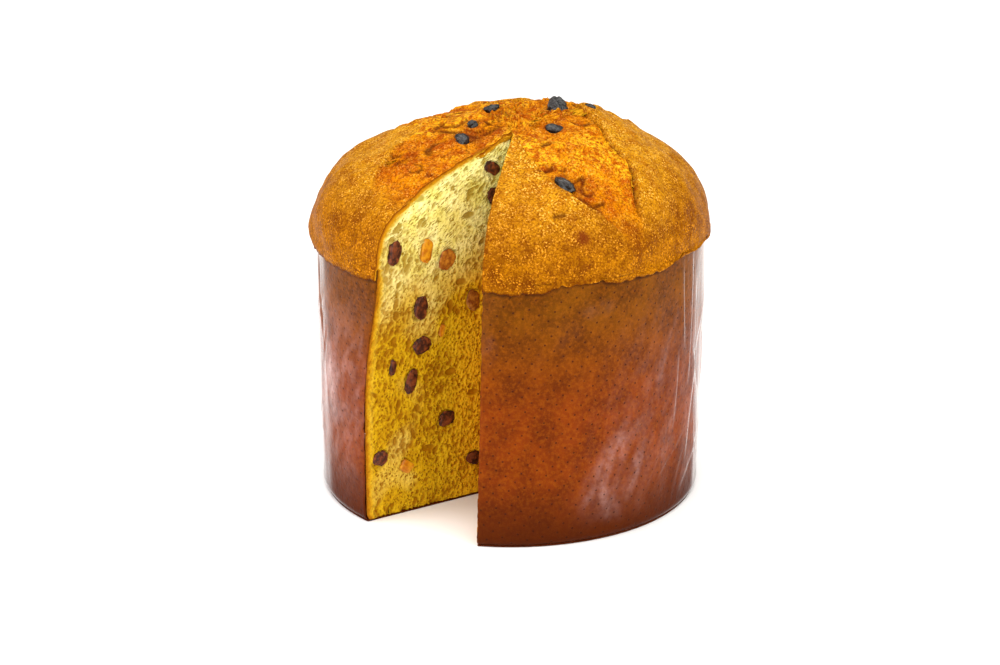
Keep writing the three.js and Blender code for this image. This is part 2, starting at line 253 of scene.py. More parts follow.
@dataclass
class Surface:
    """A closed surface that is being put together: its points, faces and what each point carries.

    Attributes:
        points: vertex places in millimetres.
        faces: arrays of triangles or quads.
        values: named numbers for each vertex.
        plan: a place on the flat sheet for each vertex, for a pattern that follows the surface.
        flat: which of the arrays of faces are shaded flat, such as a clean cut.
    """

    points: Array
    faces: list[Array]
    values: dict[str, Array] = field(default_factory=dict)
    plan: Array | None = None
    flat: tuple[int, ...] = ()

    def clean_faces(self) -> tuple[Array, Array, Array]:
        """Faces without repeated corners, as triangles and quads.

        Returns:
            The triangles, the quads, and whether each face of both is shaded smooth.
        """
        three, four = [(np.zeros((0, 3), int), True)], [(np.zeros((0, 4), int), True)]
        for number, f in enumerate(self.faces):
            smooth_here = number not in self.flat
            if f.shape[1] == 4:
                same = f == np.roll(f, -1, axis=1)
                four.append((f[~same.any(axis=1)], smooth_here))
                once = same.sum(axis=1) == 1
                three += [(np.delete(f[same[:, k] & once], k, axis=1), smooth_here) for k in range(4)]
            else:
                real = (f[:, 0] != f[:, 1]) & (f[:, 1] != f[:, 2]) & (f[:, 0] != f[:, 2])
                three.append((f[real], smooth_here))
        soft = np.concatenate([np.full(len(f), flag) for f, flag in three + four])
        return np.concatenate([f for f, _ in three]), np.concatenate([f for f, _ in four]), soft

    def to_object(self, name: str) -> bpy.types.Object:
        """Make the mesh object, in metres, with its numbers as point attributes.

        Args:
            name: the piece's name.

        Returns:
            The linked object.
        """
        three, four, soft = self.clean_faces()
        used, numbers = np.unique(np.concatenate([three.ravel(), four.ravel()]), return_inverse=True)
        loops = numbers.astype(np.int32)
        starts = np.concatenate([np.arange(len(three)) * 3, three.size + np.arange(len(four)) * 4]).astype(np.int32)
        mesh = bpy.data.meshes.new(name)
        mesh.vertices.add(len(used))
        mesh.vertices.foreach_set("co", (self.points[used] * MM).astype(np.float32).ravel())
        mesh.loops.add(len(loops))
        mesh.loops.foreach_set("vertex_index", loops)
        mesh.polygons.add(len(starts))
        mesh.polygons.foreach_set("loop_start", starts)
        mesh.polygons.foreach_set("use_smooth", soft)
        mesh.update(calc_edges=True)
        for key, value in self.values.items():
            layer = mesh.attributes.new(key, "FLOAT", "POINT")
            layer.data.foreach_set("value", value[used].astype(np.float32))
        if self.plan is not None:
            layer = mesh.uv_layers.new(name="plan")
            layer.data.foreach_set("uv", (self.plan[used][loops] * MM).astype(np.float32).ravel())
        mesh.validate()
        made = bpy.data.objects.new(name, mesh)
        bpy.context.scene.collection.objects.link(made)
        return made


def joined(parts: list[Surface]) -> Surface:
    """Several surfaces as one.

    Args:
        parts: surfaces that carry the same named numbers.

    Returns:
        One surface with all their points and faces.
    """
    starts = np.cumsum([0] + [len(p.points) for p in parts])
    faces = [f + starts[i] for i, p in enumerate(parts) for f in p.faces]
    values = {k: np.concatenate([p.values[k] for p in parts]) for k in parts[0].values}
    return Surface(np.concatenate([p.points for p in parts]), faces, values)


# ---- the form of the loaf


@dataclass(frozen=True)
class Flap:
    """One flap of skin that the baker's cross cut leaves, in the top view.

    Attributes:
        angle: direction from the middle, in degrees.
        tip: how far its tip lies from the middle.
        rise: how much further out its edge runs at the sides.
        span: how quickly the edge gets there.
        lift: height of its edge.
        groove: depth of the crack beside it.
    """

    angle: float
    tip: float
    rise: float
    span: float
    lift: float
    groove: float


@dataclass(frozen=True)
class Fold:
    """A soft fold of dough: a ridge along a line of the top view, or a dent where its height is negative."""

    start: tuple[float, float]
    end: tuple[float, float]
    height: float
    width: float


@dataclass(frozen=True)
class LoafForm:
    """The outer form of the loaf and of the wedge that is cut from it, in millimetres."""

    case_bottom_radius: float = 84.1
    case_top_radius: float = 85.6
    case_height: float = 120.0
    base_thickness: float = 0.8
    foot_radius: float = 3.4
    foot_inset: float = 1.5
    dome_radius: float = 87.3
    dome_start: float = 119.0
    dome_rise: float = 56.2
    height_power: float = 2.445
    radius_power: float = 1.103
    tip_rounding: float = 0.06
    lean: float = 20.0
    lean_power: float = 3.745
    lean_angle: float = math.radians(26.5)
    lip_height: float = 115.2
    lip_tilt: float = 2.4
    apex_foot: tuple[float, float] = (2.0, -19.0)
    apex_lean: tuple[float, float] = (11.5 / 167.0, -4.0 / 167.0)
    left_cut: float = -112.0
    left_swing: float = 8.7
    swing_height: float = 90.0
    swing_span: float = 14.0
    right_cut: float = -73.3
    right_twist: float = 0.0175

    def level_at(self, across: Array) -> Array:
        """Share of the dome's rise at a share of its radius: a superellipse."""
        return np.maximum(1.0 - across**self.radius_power, 0.0) ** (1.0 / self.height_power)

    def dome(self, disc: Array) -> Array:
        """Points of the dome: a superellipse turned round an axis that leans more and more towards the peak.

        Args:
            disc: places on the unit disc, the last axis being x, y.

        Returns:
            Points in millimetres.
        """
        across = np.clip(np.linalg.norm(disc, axis=-1), 0.0, 1.0)
        level = self.level_at(across)
        lean = self.lean * level**self.lean_power
        x = lean * math.cos(self.lean_angle) + self.dome_radius * disc[..., 0]
        y = lean * math.sin(self.lean_angle) + self.dome_radius * disc[..., 1]
        rounding = self.tip_rounding * self.dome_rise * bell(across, 0.12)
        return np.stack([x, y, self.dome_start + self.dome_rise * level - rounding], axis=-1)

    def disc_at(self, x: Array, y: Array) -> Array:
        """The unit disc place that lies at x, y in the top view, found by steps that undo the lean."""
        disc = np.stack([x, y], axis=-1) / self.dome_radius
        for _ in range(60):
            disc = disc + 0.6 * (np.stack([x, y], axis=-1) - self.dome(disc)[..., :2]) / self.dome_radius
        return disc

    def case_radius(self, z: Array) -> Array:
        """Outer radius of the paper wall: a slight taper, and a small fold inwards at the foot."""
        wall = self.case_bottom_radius + (self.case_top_radius - self.case_bottom_radius) * z / self.case_height
        fold = np.clip(1.0 - (z - self.base_thickness) / self.foot_radius, 0.0, 1.0)
        return wall - self.foot_inset * fold * fold

    def lip(self, angle: Array) -> Array:
        """Height of the lower edge of the crust's lip round the loaf, with its torn small scallops."""
        ring = np.stack([np.cos(angle), np.sin(angle), np.zeros_like(angle)], axis=-1) * self.case_top_radius
        torn = 0.8 * noise(ring, 16.0, 31) + 1.0 * noise(ring, 6.0, 32) + 0.8 * noise(ring, 2.4, 33)
        torn += 1.0 * smooth(ridged(ring, 12.0, 37), 0.6, 1.0)
        degrees = np.degrees(angle)
        dent = 2.1 * bell(degrees + 5.0, 5.0) - bell(degrees + 14.0, 3.0)
        return self.lip_height + self.lip_tilt * np.cos(angle - self.lean_angle) + torn + dent

    def apex(self, z: Array) -> Array:
        """The inner edge of the cut in the top view, at a height: a straight leaning line."""
        return np.array(self.apex_foot) + np.asarray(z)[..., None] * np.array(self.apex_lean)

    def cut_angle(self, side: Side, z: Array) -> Array:
        """Angle round the loaf at which a cut leaves it; the left cut swings back below the rim of the case."""
        if side is Side.LEFT:
            share = 1.0 / (1.0 + np.exp((self.swing_height - np.asarray(z)) / self.swing_span))
            return np.radians(self.left_cut + self.left_swing * share)
        return np.radians(self.right_cut + self.right_twist * np.asarray(z))

    def cut_direction(self, side: Side, z: Array) -> Array:
        """Unit direction along a cut face from its inner edge outwards, in the top view."""
        angle = self.cut_angle(side, z)
        way = np.stack([np.cos(angle), np.sin(angle)], axis=-1) * self.case_top_radius - self.apex(z)
        return way / np.linalg.norm(way, axis=-1, keepdims=True)

    def cut_inward(self, side: Side, z: Array) -> Array:
        """Unit direction from a cut face square into the loaf, in the top view."""
        way = self.cut_direction(side, z)
        return np.stack([-way[..., 1], way[..., 0]], axis=-1) * side.value

    def face_point(self, side: Side, along: Array, z: Array, depth: Array) -> Array:
        """A point of a cut face: along it from the inner edge, at a height, and so far into the loaf.

        Args:
            side: which face.
            along: distance from the inner edge.
            z: height.
            depth: distance behind the face.

        Returns:
            Points in millimetres.
        """
        flat = self.apex(z) + self.cut_direction(side, z) * along[..., None]
        flat = flat + self.cut_inward(side, z) * depth[..., None]
        return np.concatenate([flat, np.broadcast_to(z, along.shape)[..., None]], axis=-1)

    def circle(self, level: Array) -> tuple[Array, Array]:
        """The middle and the radius of the circle that the dome makes at a share of its rise."""
        across = (1.0 - level**self.height_power) ** (1.0 / self.radius_power)
        lean = np.asarray(self.lean * level**self.lean_power)[..., None]
        return lean * np.array([math.cos(self.lean_angle), math.sin(self.lean_angle)]), self.dome_radius * across

    def top_level(self) -> float:
        """The level at which the inner edge of the cut comes out of the dome, by halving."""
        low, high = 0.2, 0.97
        for _ in range(50):
            level = (low + high) / 2.0
            centre, radius = self.circle(level)
            inside = np.linalg.norm(self.apex(self.dome_start + self.dome_rise * level) - centre) < radius
            low, high = (level, high) if inside else (low, level)
        return low

    def cut_curve(self, side: Side, count: int = 500) -> tuple[Array, Array]:
        """Where a cut leaves the dome: at each level the dome is a circle, and the cut's ray meets it.

        Args:
            side: which cut.
            count: how many points.

        Returns:
            Places on the unit disc from the inner edge out to the rim, and their distances along the face.
        """
        level = self.top_level() * (1.0 - np.linspace(0.0, 1.0, count) ** 0.5)
        level[-1] = 0.0
        z = self.dome_start + self.dome_rise * level
        centre, radius = self.circle(level)
        start = self.apex(z) - centre
        way = self.cut_direction(side, z)
        along = ray_length(start, way, radius)
        return (start + way * along[:, None]) / self.dome_radius, along


FORM = LoafForm()

FLAPS = (
    Flap(25.0, 29.0, 31.0, 42.0, 2.1, 1.5),
    Flap(115.0, 36.0, 26.0, 36.0, 1.2, 0.9),
    Flap(205.0, 38.0, 26.0, 38.0, 0.5, 0.25),
    Flap(295.0, 24.0, 44.0, 17.5, 1.6, 1.3),
)

FOLDS = (
    Fold((30.0, -27.0), (46.0, -20.4), 1.3, 2.6),
    Fold((45.6, -20.4), (59.0, -12.5), 1.3, 2.4),
    Fold((42.0, -26.0), (58.0, -17.0), -0.9, 2.2),
    Fold((50.0, -27.0), (57.0, -22.0), 1.4, 4.6),
    Fold((29.1, -28.0), (31.7, -24.8), -1.0, 0.9),
    Fold((34.9, -43.0), (38.4, -38.5), -0.9, 0.9),
    Fold((58.6, -45.1), (62.5, -39.2), -0.9, 0.9),
    Fold((49.0, -58.6), (52.3, -55.3), -0.7, 0.8),
    Fold((52.0, -41.0), (66.0, -37.0), 1.0, 4.0),
    Fold((38.0, -33.0), (50.0, -35.0), 0.8, 3.0),
    Fold((-34.0, 34.0), (-22.0, 60.0), 1.3, 4.0),
    Fold((-50.0, 16.0), (-70.0, 26.0), 1.2, 4.0),
    Fold((-34.0, -34.0), (-17.0, -31.0), 0.8, 2.2),
    Fold((-27.0, -42.0), (-10.0, -33.0), 0.9, 2.4),
    Fold((-22.0, -23.0), (-2.0, -27.0), -0.6, 1.3),
    Fold((-2.0, -22.0), (2.0, -19.0), -1.6, 1.5),
    Fold((-38.0, -14.0), (-24.0, -22.0), 0.6, 2.0),
    Fold((6.0, -12.0), (14.0, -4.0), 0.7, 2.0),
    Fold((32.0, 43.0), (52.0, 33.0), -1.6, 13.0),
)

# Stains of fruit under the skin: x, y, radius and strength
STAINS = (
    (52.0, -41.0, 3.2, 0.7),
    (-4.0, -29.0, 4.0, 0.75),
    (60.8, -56.0, 2.4, 0.7),
    (55.9, -54.1, 1.6, 0.5),
    (62.8, -44.0, 1.8, 0.6),
    (4.0, -20.0, 2.6, 0.6),
    (16.0, 12.0, 3.0, 0.5),
)


@dataclass(frozen=True)
class Lump:
    """A raisin or a dice of peel.

    Attributes:
        kind: raisin or peel.
        place: along and up on a cut face, or x and y in the top view.
        size: width, height and how deep it sits, or length, width and how far it stands proud on the crust.
        turn: its turn in degrees.
        amber: 1 for a light raisin, 0 for a dark one.
    """

    kind: Fruit
    place: tuple[float, float]
    size: tuple[float, float, float]
    turn: float
    amber: float = 0.0


def lumps(kind: Fruit, rows: str) -> tuple[Lump, ...]:
    """Read lumps from a short table, one on each line: place, size, turn and, where it isn't 0, how light it is."""
    numbers = [[float(v) for v in line.split()] for line in rows.strip().splitlines()]
    return tuple(Lump(kind, (n[0], n[1]), (n[2], n[3], n[4]), *n[5:]) for n in numbers)


LEFT_RAISINS = lumps(
    Fruit.RAISIN,
    """
    59.3 124.3 6.4 11 4 8
    44.3 96.3 6.8 11.6 3.7 6
    41.3 77.5 9 8.6 4 -20
    55.6 69.9 3.4 7.6 3.1 8
    45.9 61.5 5.6 11 3.4 12
    16.8 94 7.2 10.4 3.7 -6 0.8
    10.5 153 9.4 6.6 3.7 28
    9.3 140.8 6.4 7 3.4 20
    32.4 115.7 8 9.4 3.4 24 1
    27 40 8.5 6.5 3.7 -15
    60 28 6.5 8.5 3.7 30
    12 18 7.5 6 3.4 10
    """,
)
LEFT_PEELS = lumps(
    Fruit.PEEL,
    """
    43.2 121.5 5.6 11.4 3.1 12
    32 82.9 2.6 5 2.5 4
    47 22 6 5 3.1 35
    """,
)
RIGHT_RAISINS = lumps(
    Fruit.RAISIN,
    """
    20 146 9 7 3.7 14
    47 127 7 10 3.7 -18
    33 104 9.5 7.5 4 30
    53 88 6.5 9.5 3.7 10
    16 78 7 8.5 3.4 -25
    40 56 8.5 7 3.7 40
    24 33 8 6.5 3.7 -8
    55 24 7 9 3.7 16
    """,
)
RIGHT_PEELS = lumps(
    Fruit.PEEL,
    """
    30 126 7 5.5 3.1 -30
    14 112 5 6.5 3.1 20
    30 68 6 5 3.1 45
    41 14 6.5 5 3.1 -12
    """,
)
TOP_RAISINS = lumps(
    Fruit.RAISIN,
    """
    19.4 6 9 8.4 6.6 70
    -10.3 1.9 8.2 6 2.2 10
    -7.8 -30.7 7.2 6 2.1 -50
    -8.6 -18.8 5 4 1.5 20
    26.8 -13 7.4 5 1.0 35
    46.5 -43.2 11.5 6 2.4 -10
    31.1 14.9 6.6 3.6 1.1 -20
    -26 53 8 6.4 2.3 60
    14 60 9 6.6 2.5 -15
    -59 31 7 6 2 25
    """,
)
# The largest bubbles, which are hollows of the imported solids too: along and up on the face, width and height
BIG_BUBBLES = {
    Side.LEFT: (
        (48, 146, 6, 3.4),
        (22, 134, 7, 3.4),
        (24, 104, 6, 3.6),
        (26, 62, 6.4, 4),
        (14, 50, 6, 3.4),
        (36, 28, 7, 3.6),
    ),
    Side.RIGHT: (
        (34, 141, 7, 3.6),
        (45, 110, 6, 3.4),
        (24, 92, 7, 4),
        (14, 60, 6, 3.6),
        (30, 47, 7, 3.4),
        (38, 30, 6, 3.4),
    ),
}


# ---- materials

MIX, RANGE, MATH, BUMP = "ShaderNodeMix", "ShaderNodeMapRange", "ShaderNodeMath", "ShaderNodeBump"
NOISE, CELLS, RAMP, VECTOR = "ShaderNodeTexNoise", "ShaderNodeTexVoronoi", "ShaderNodeValToRGB", "ShaderNodeVectorMath"
NUMBER, SHADER, OUTPUT = "ShaderNodeAttribute", "ShaderNodeBsdfPrincipled", "ShaderNodeOutputMaterial"
COLOUR = {"data_type": "RGBA", "out": 2}
TINT = {"data_type": "RGBA", "blend_type": "MULTIPLY", "out": 2}
SOFT = {"interpolation_type": "SMOOTHSTEP"}
TIMES, LESS, LARGER = ({"operation": name} for name in ("MULTIPLY", "SUBTRACT", "MAXIMUM"))
PER_MM = 1.0 / MM


def hex_colour(code: str) -> tuple[float, float, float, float]:
    """An sRGB hex colour as linear red, green, blue and alpha.

    Args:
        code: six hex digits.

    Returns:
        Four linear numbers.
    """
    channels = [int(code[i : i + 2], 16) / 255.0 for i in (0, 2, 4)]
    linear = [c / 12.92 if c <= 0.04045 else ((c + 0.055) / 1.055) ** 2.4 for c in channels]
    return (*linear, 1.0)


def add(tree: bpy.types.NodeTree, kind: str, settings: dict | None = None, **inputs: object) -> bpy.types.NodeSocket:
    """Add a node with its settings and links.

    Args:
        tree: the material's node tree.
        kind: the node's type name.
        settings: properties of the node; "ramp" holds colour stops as pairs of place and hex colour, and "out" says
            which of its outputs is wanted, the first one otherwise.
        **inputs: input sockets by name, with _ for a space, or in_0, in_1 by number, as a plain value, a hex colour
            or another node's output.

    Returns:
        The wanted output, or None where the node has none.
    """
    node = tree.nodes.new(kind)
    out = 0
    for key, value in (settings or {}).items():
        if key == "out":
            out = value
        elif key == "ramp":
            stops = node.color_ramp.elements
            while len(stops) < len(value):
                stops.new(0.5)
            for stop, (place, colour) in zip(stops, value):
                stop.position = place
                stop.color = hex_colour(colour)
        else:
            setattr(node, key, value)
    for key, value in inputs.items():
        socket = node.inputs[int(key[3:])] if key.startswith("in_") else node.inputs[key.replace("_", " ")]
        if isinstance(value, bpy.types.NodeSocket):
            tree.links.new(value, socket)
        else:
            socket.default_value = hex_colour(value) if isinstance(value, str) else value
    return node.outputs[out] if node.outputs else None


@dataclass(frozen=True)
class Finish:
    """What every finish has: its name and the plain values of its surface.

    Attributes:
        name: the material's name.
        roughness: mean roughness of the surface.
        specular: specular level.
    """

    name: str
    roughness: float
    specular: float

    def start(self, *numbers: str) -> tuple:
        """Start the material.

        Args:
            *numbers: names of the numbers that the mesh carries at its points.

        Returns:
            The material, its tree, its place in object coordinates, and the output of each number.
        """
        material = bpy.data.materials.new(self.name)
        material.use_nodes = True
        tree = material.node_tree
        tree.nodes.clear()
        place = add(tree, "ShaderNodeTexCoord", {"out": "Object"})
        carried = (add(tree, NUMBER, {"attribute_name": name, "out": "Fac"}) for name in numbers)
        return material, tree, place, *carried


@dataclass(frozen=True)
class BakedCrust(Finish):
    """Baked dough skin: golden brown with a sandy speckle of pale specks that are partly painted glints, and more
    orange where the cross cut tore it open.
    """

    name: str = "baked_crust"
    roughness: float = 0.42
    specular: float = 0.02

    def build(self) -> bpy.types.Material:
        """Make the material.

        Returns:
            The crust's material, which reads the numbers open, crest, scar, stain, bake and section.
        """
        names = ("open", "crest", "scar", "stain", "bake", "section")
        material, tree, place, torn_here, crest, scar, stain, bake, section = self.start(*names)
        # Broad patches of lighter and darker baking, about 22 mm and 6 mm across. The low skin is darkest and the high
        # skin lightest: partly the baking, partly painted shade low down and painted light on top
        broad = add(tree, NOISE, Vector=place, Scale=PER_MM / 22.0)
        broad = add(tree, RANGE, SOFT, Value=broad, From_Min=0.34, From_Max=0.66)
        patch = add(tree, NOISE, Vector=place, Scale=PER_MM / 6.5, Detail=4.0, Roughness=0.6)
        patch = add(tree, RANGE, SOFT, Value=patch, From_Min=0.36, From_Max=0.66)
        low = add(tree, MIX, COLOUR, in_0=broad, in_6="643000", in_7="8E5600")
        high = add(tree, MIX, COLOUR, in_0=patch, in_6="AE6C08", in_7="DAA220")
        skin = add(tree, MIX, COLOUR, in_0=bake, in_6=low, in_7=high)
        slight = add(tree, MATH, TIMES, in_0=patch, in_1=0.55)
        skin = add(tree, MIX, COLOUR, in_0=slight, in_6=skin, in_7="B87404")
        # Torn dough: soft and orange, with a painted yellow highlight on the crests of its folds, so that their hollows
        # stay darker
        torn = add(tree, MIX, COLOUR, in_0=patch, in_6="A04800", in_7="CC7C02")
        ridge = add(tree, NOISE, Vector=place, Scale=PER_MM / 2.6, Detail=3.0, Roughness=0.6)
        ridge = add(tree, RANGE, SOFT, Value=ridge, From_Min=0.4, From_Max=0.66)
        ridge = add(tree, MATH, TIMES, in_0=ridge, in_1=crest)
        torn = add(tree, MIX, COLOUR, in_0=ridge, in_6=torn, in_7="F2B21C")
        colour = add(tree, MIX, COLOUR, in_0=torn_here, in_6=skin, in_7=torn)
        # The sandy speckle of a thin skin: dark pits and pale specks, about 1 mm apart, few on the torn dough; the pale
        # specks are partly the skin's own and partly painted glints
        cells = add(tree, CELLS, Vector=place, Scale=PER_MM / 1.0)
        pits = add(tree, RANGE, SOFT, Value=cells, From_Min=0.4, From_Max=0.8, To_Max=0.5)
        colour = add(tree, MIX, COLOUR, in_0=pits, in_6=colour, in_7="5E2600")
        speck = add(tree, NOISE, Vector=place, Scale=PER_MM / 0.74, Detail=1.5, Roughness=0.6)
        dark = add(tree, RANGE, SOFT, Value=speck, From_Min=0.48, From_Max=0.34, To_Max=0.6)
        colour = add(tree, MIX, COLOUR, in_0=dark, in_6=colour, in_7="5C2400")
        uneven = add(tree, NOISE, Vector=place, Scale=PER_MM / 4.5, Detail=3.0, Roughness=0.6)
        uneven = add(tree, RANGE, SOFT, Value=uneven, From_Min=0.36, From_Max=0.6)
        sandy = add(tree, RANGE, Value=torn_here, To_Min=1.0, To_Max=0.4)
        uneven = add(tree, MATH, TIMES, in_0=uneven, in_1=sandy)
        pale = add(tree, RANGE, SOFT, Value=speck, From_Min=0.55, From_Max=0.68)
        pale = add(tree, MATH, TIMES, in_0=pale, in_1=uneven)
        grain_and_glint = add(tree, MIX, COLOUR, in_0=bake, in_6="D2881C", in_7="F2BE5A")
        colour = add(tree, MIX, COLOUR, in_0=pale, in_6=colour, in_7=grain_and_glint)
        # Painted shade in the cracks, narrow dents and tears and under the lip, dark red stains beside the fruit, and
        # the cut edge of the crust
        lines = add(tree, MATH, TIMES, in_0=scar, in_1=0.95)
        colour = add(tree, MIX, COLOUR, in_0=lines, in_6=colour, in_7="481802")
        colour = add(tree, MIX, COLOUR, in_0=stain, in_6=colour, in_7="642008")
        browning = [(0.0, "4E2204"), (0.25, "8C4C08"), (0.6, "B07610"), (1.0, "C08614")]
        edge = add(tree, RAMP, {"ramp": browning}, in_0=section)
        cut = add(tree, RANGE, SOFT, Value=section, From_Min=0.01, From_Max=0.06)
        colour = add(tree, MIX, COLOUR, in_0=cut, in_6=colour, in_7=edge)
        coarse = add(tree, NOISE, Vector=place, Scale=PER_MM / 3.2, Detail=4.0, Roughness=0.6)
        grain = add(tree, MATH, LESS, in_0=speck, in_1=cells)
        bump = add(tree, BUMP, Strength=0.9, Distance=0.4 * MM, Height=grain)
        bump = add(tree, BUMP, Strength=0.5, Distance=1.2 * MM, Height=coarse, Normal=bump)
        shader = add(
            tree, SHADER, Base_Color=colour, Normal=bump, Roughness=self.roughness, Specular_IOR_Level=self.specular
        )
        add(tree, OUTPUT, Surface=shader)
        return material


@dataclass(frozen=True)
class OpenCrumb(Finish):
    """Soft butter-rich crumb: matt pale yellow walls, with deeper gold inside the bubbles, painted as shade, and
    towards the crust.
    """

    name: str = "open_crumb"
    roughness: float = 0.7
    specular: float = 0.05

    def build(self) -> bpy.types.Material:
        """Make the material.

        Returns:
            The crumb's material, which reads the numbers warm, pore, edge and inner.
        """
        material, tree, place, warm, pore, edge, inner = self.start("warm", "pore", "edge", "inner")
        plan = add(tree, "ShaderNodeUVMap", {"uv_map": "plan"})
        patch = add(tree, NOISE, Vector=place, Scale=PER_MM / 9.0, Roughness=0.6)
        patch = add(tree, RANGE, SOFT, Value=patch, From_Min=0.3, From_Max=0.7)
        # Pale walls high up and gold low down: partly the crumb's own tone, partly painted shade
        pale = add(tree, MIX, COLOUR, in_0=patch, in_6="E4DC7C", in_7="F4F0AE")
        gold = add(tree, MIX, COLOUR, in_0=patch, in_6="B48808", in_7="C49C12")
        # Near the inner edge low down a lighter orange is painted light, where the wedge lies in shade
        gold = add(tree, MIX, COLOUR, in_0=inner, in_6=gold, in_7="F2B41C")
        colour = add(tree, MIX, COLOUR, in_0=warm, in_6=pale, in_7=gold)
        # Small bubbles between the modelled ones: long cells about 0.8 mm and 1.4 mm across, open here and there
        pit = add(tree, MATH, TIMES, in_0=pore, in_1=0.7)
        for size, low, high in ((0.8, 0.46, 0.16), (1.4, 0.40, 0.18)):
            cells = add(tree, CELLS, Vector=plan, Scale=PER_MM / size)
            deep = add(tree, RANGE, SOFT, Value=cells, From_Min=low, From_Max=high)
            opened = add(tree, NOISE, Vector=place, Scale=PER_MM / (size * 3.0), Detail=3.0, Roughness=0.6)
            opened = add(tree, RANGE, SOFT, Value=opened, From_Min=0.38, From_Max=0.58)
            deep = add(tree, MATH, TIMES, in_0=deep, in_1=opened)
            pit = add(tree, MATH, LARGER, in_0=pit, in_1=deep)
        # Painted shade in the bubbles: the colour is tinted darker as far as each place lies in one
        shade = add(tree, MIX, COLOUR, in_0=warm, in_6="A08C2C", in_7="B08820")
        shade = add(tree, MIX, TINT, in_0=1.0, in_6=colour, in_7=shade)
        hollow = add(tree, RANGE, SOFT, Value=pit, From_Min=0.0, From_Max=0.9, To_Max=0.95)
        colour = add(tree, MIX, COLOUR, in_0=hollow, in_6=colour, in_7=shade)
        # Browner towards the wall and the crust
        browning = [(0.0, "8A4E06"), (0.2, "A8700A"), (0.5, "C89A1A"), (1.0, "DEC040")]
        near = add(tree, RAMP, {"ramp": browning}, in_0=edge)
        share = add(tree, RANGE, SOFT, Value=edge, From_Min=1.0, From_Max=0.25)
        colour = add(tree, MIX, COLOUR, in_0=share, in_6=colour, in_7=near)
        fine = add(tree, NOISE, Vector=place, Scale=PER_MM / 0.5, Roughness=0.6)
        bump = add(tree, BUMP, {"invert": True}, Strength=0.8, Distance=0.5 * MM, Height=pit)
        bump = add(tree, BUMP, Strength=0.35, Distance=0.25 * MM, Height=fine, Normal=bump)
        shader = add(
            tree, SHADER, Base_Color=colour, Normal=bump, Roughness=self.roughness, Specular_IOR_Level=self.specular,
            Subsurface_Weight=0.1, Subsurface_Radius=(1.0, 0.7, 0.25), Subsurface_Scale=0.6 * MM,
        )
        add(tree, OUTPUT, Surface=shader)
        return material


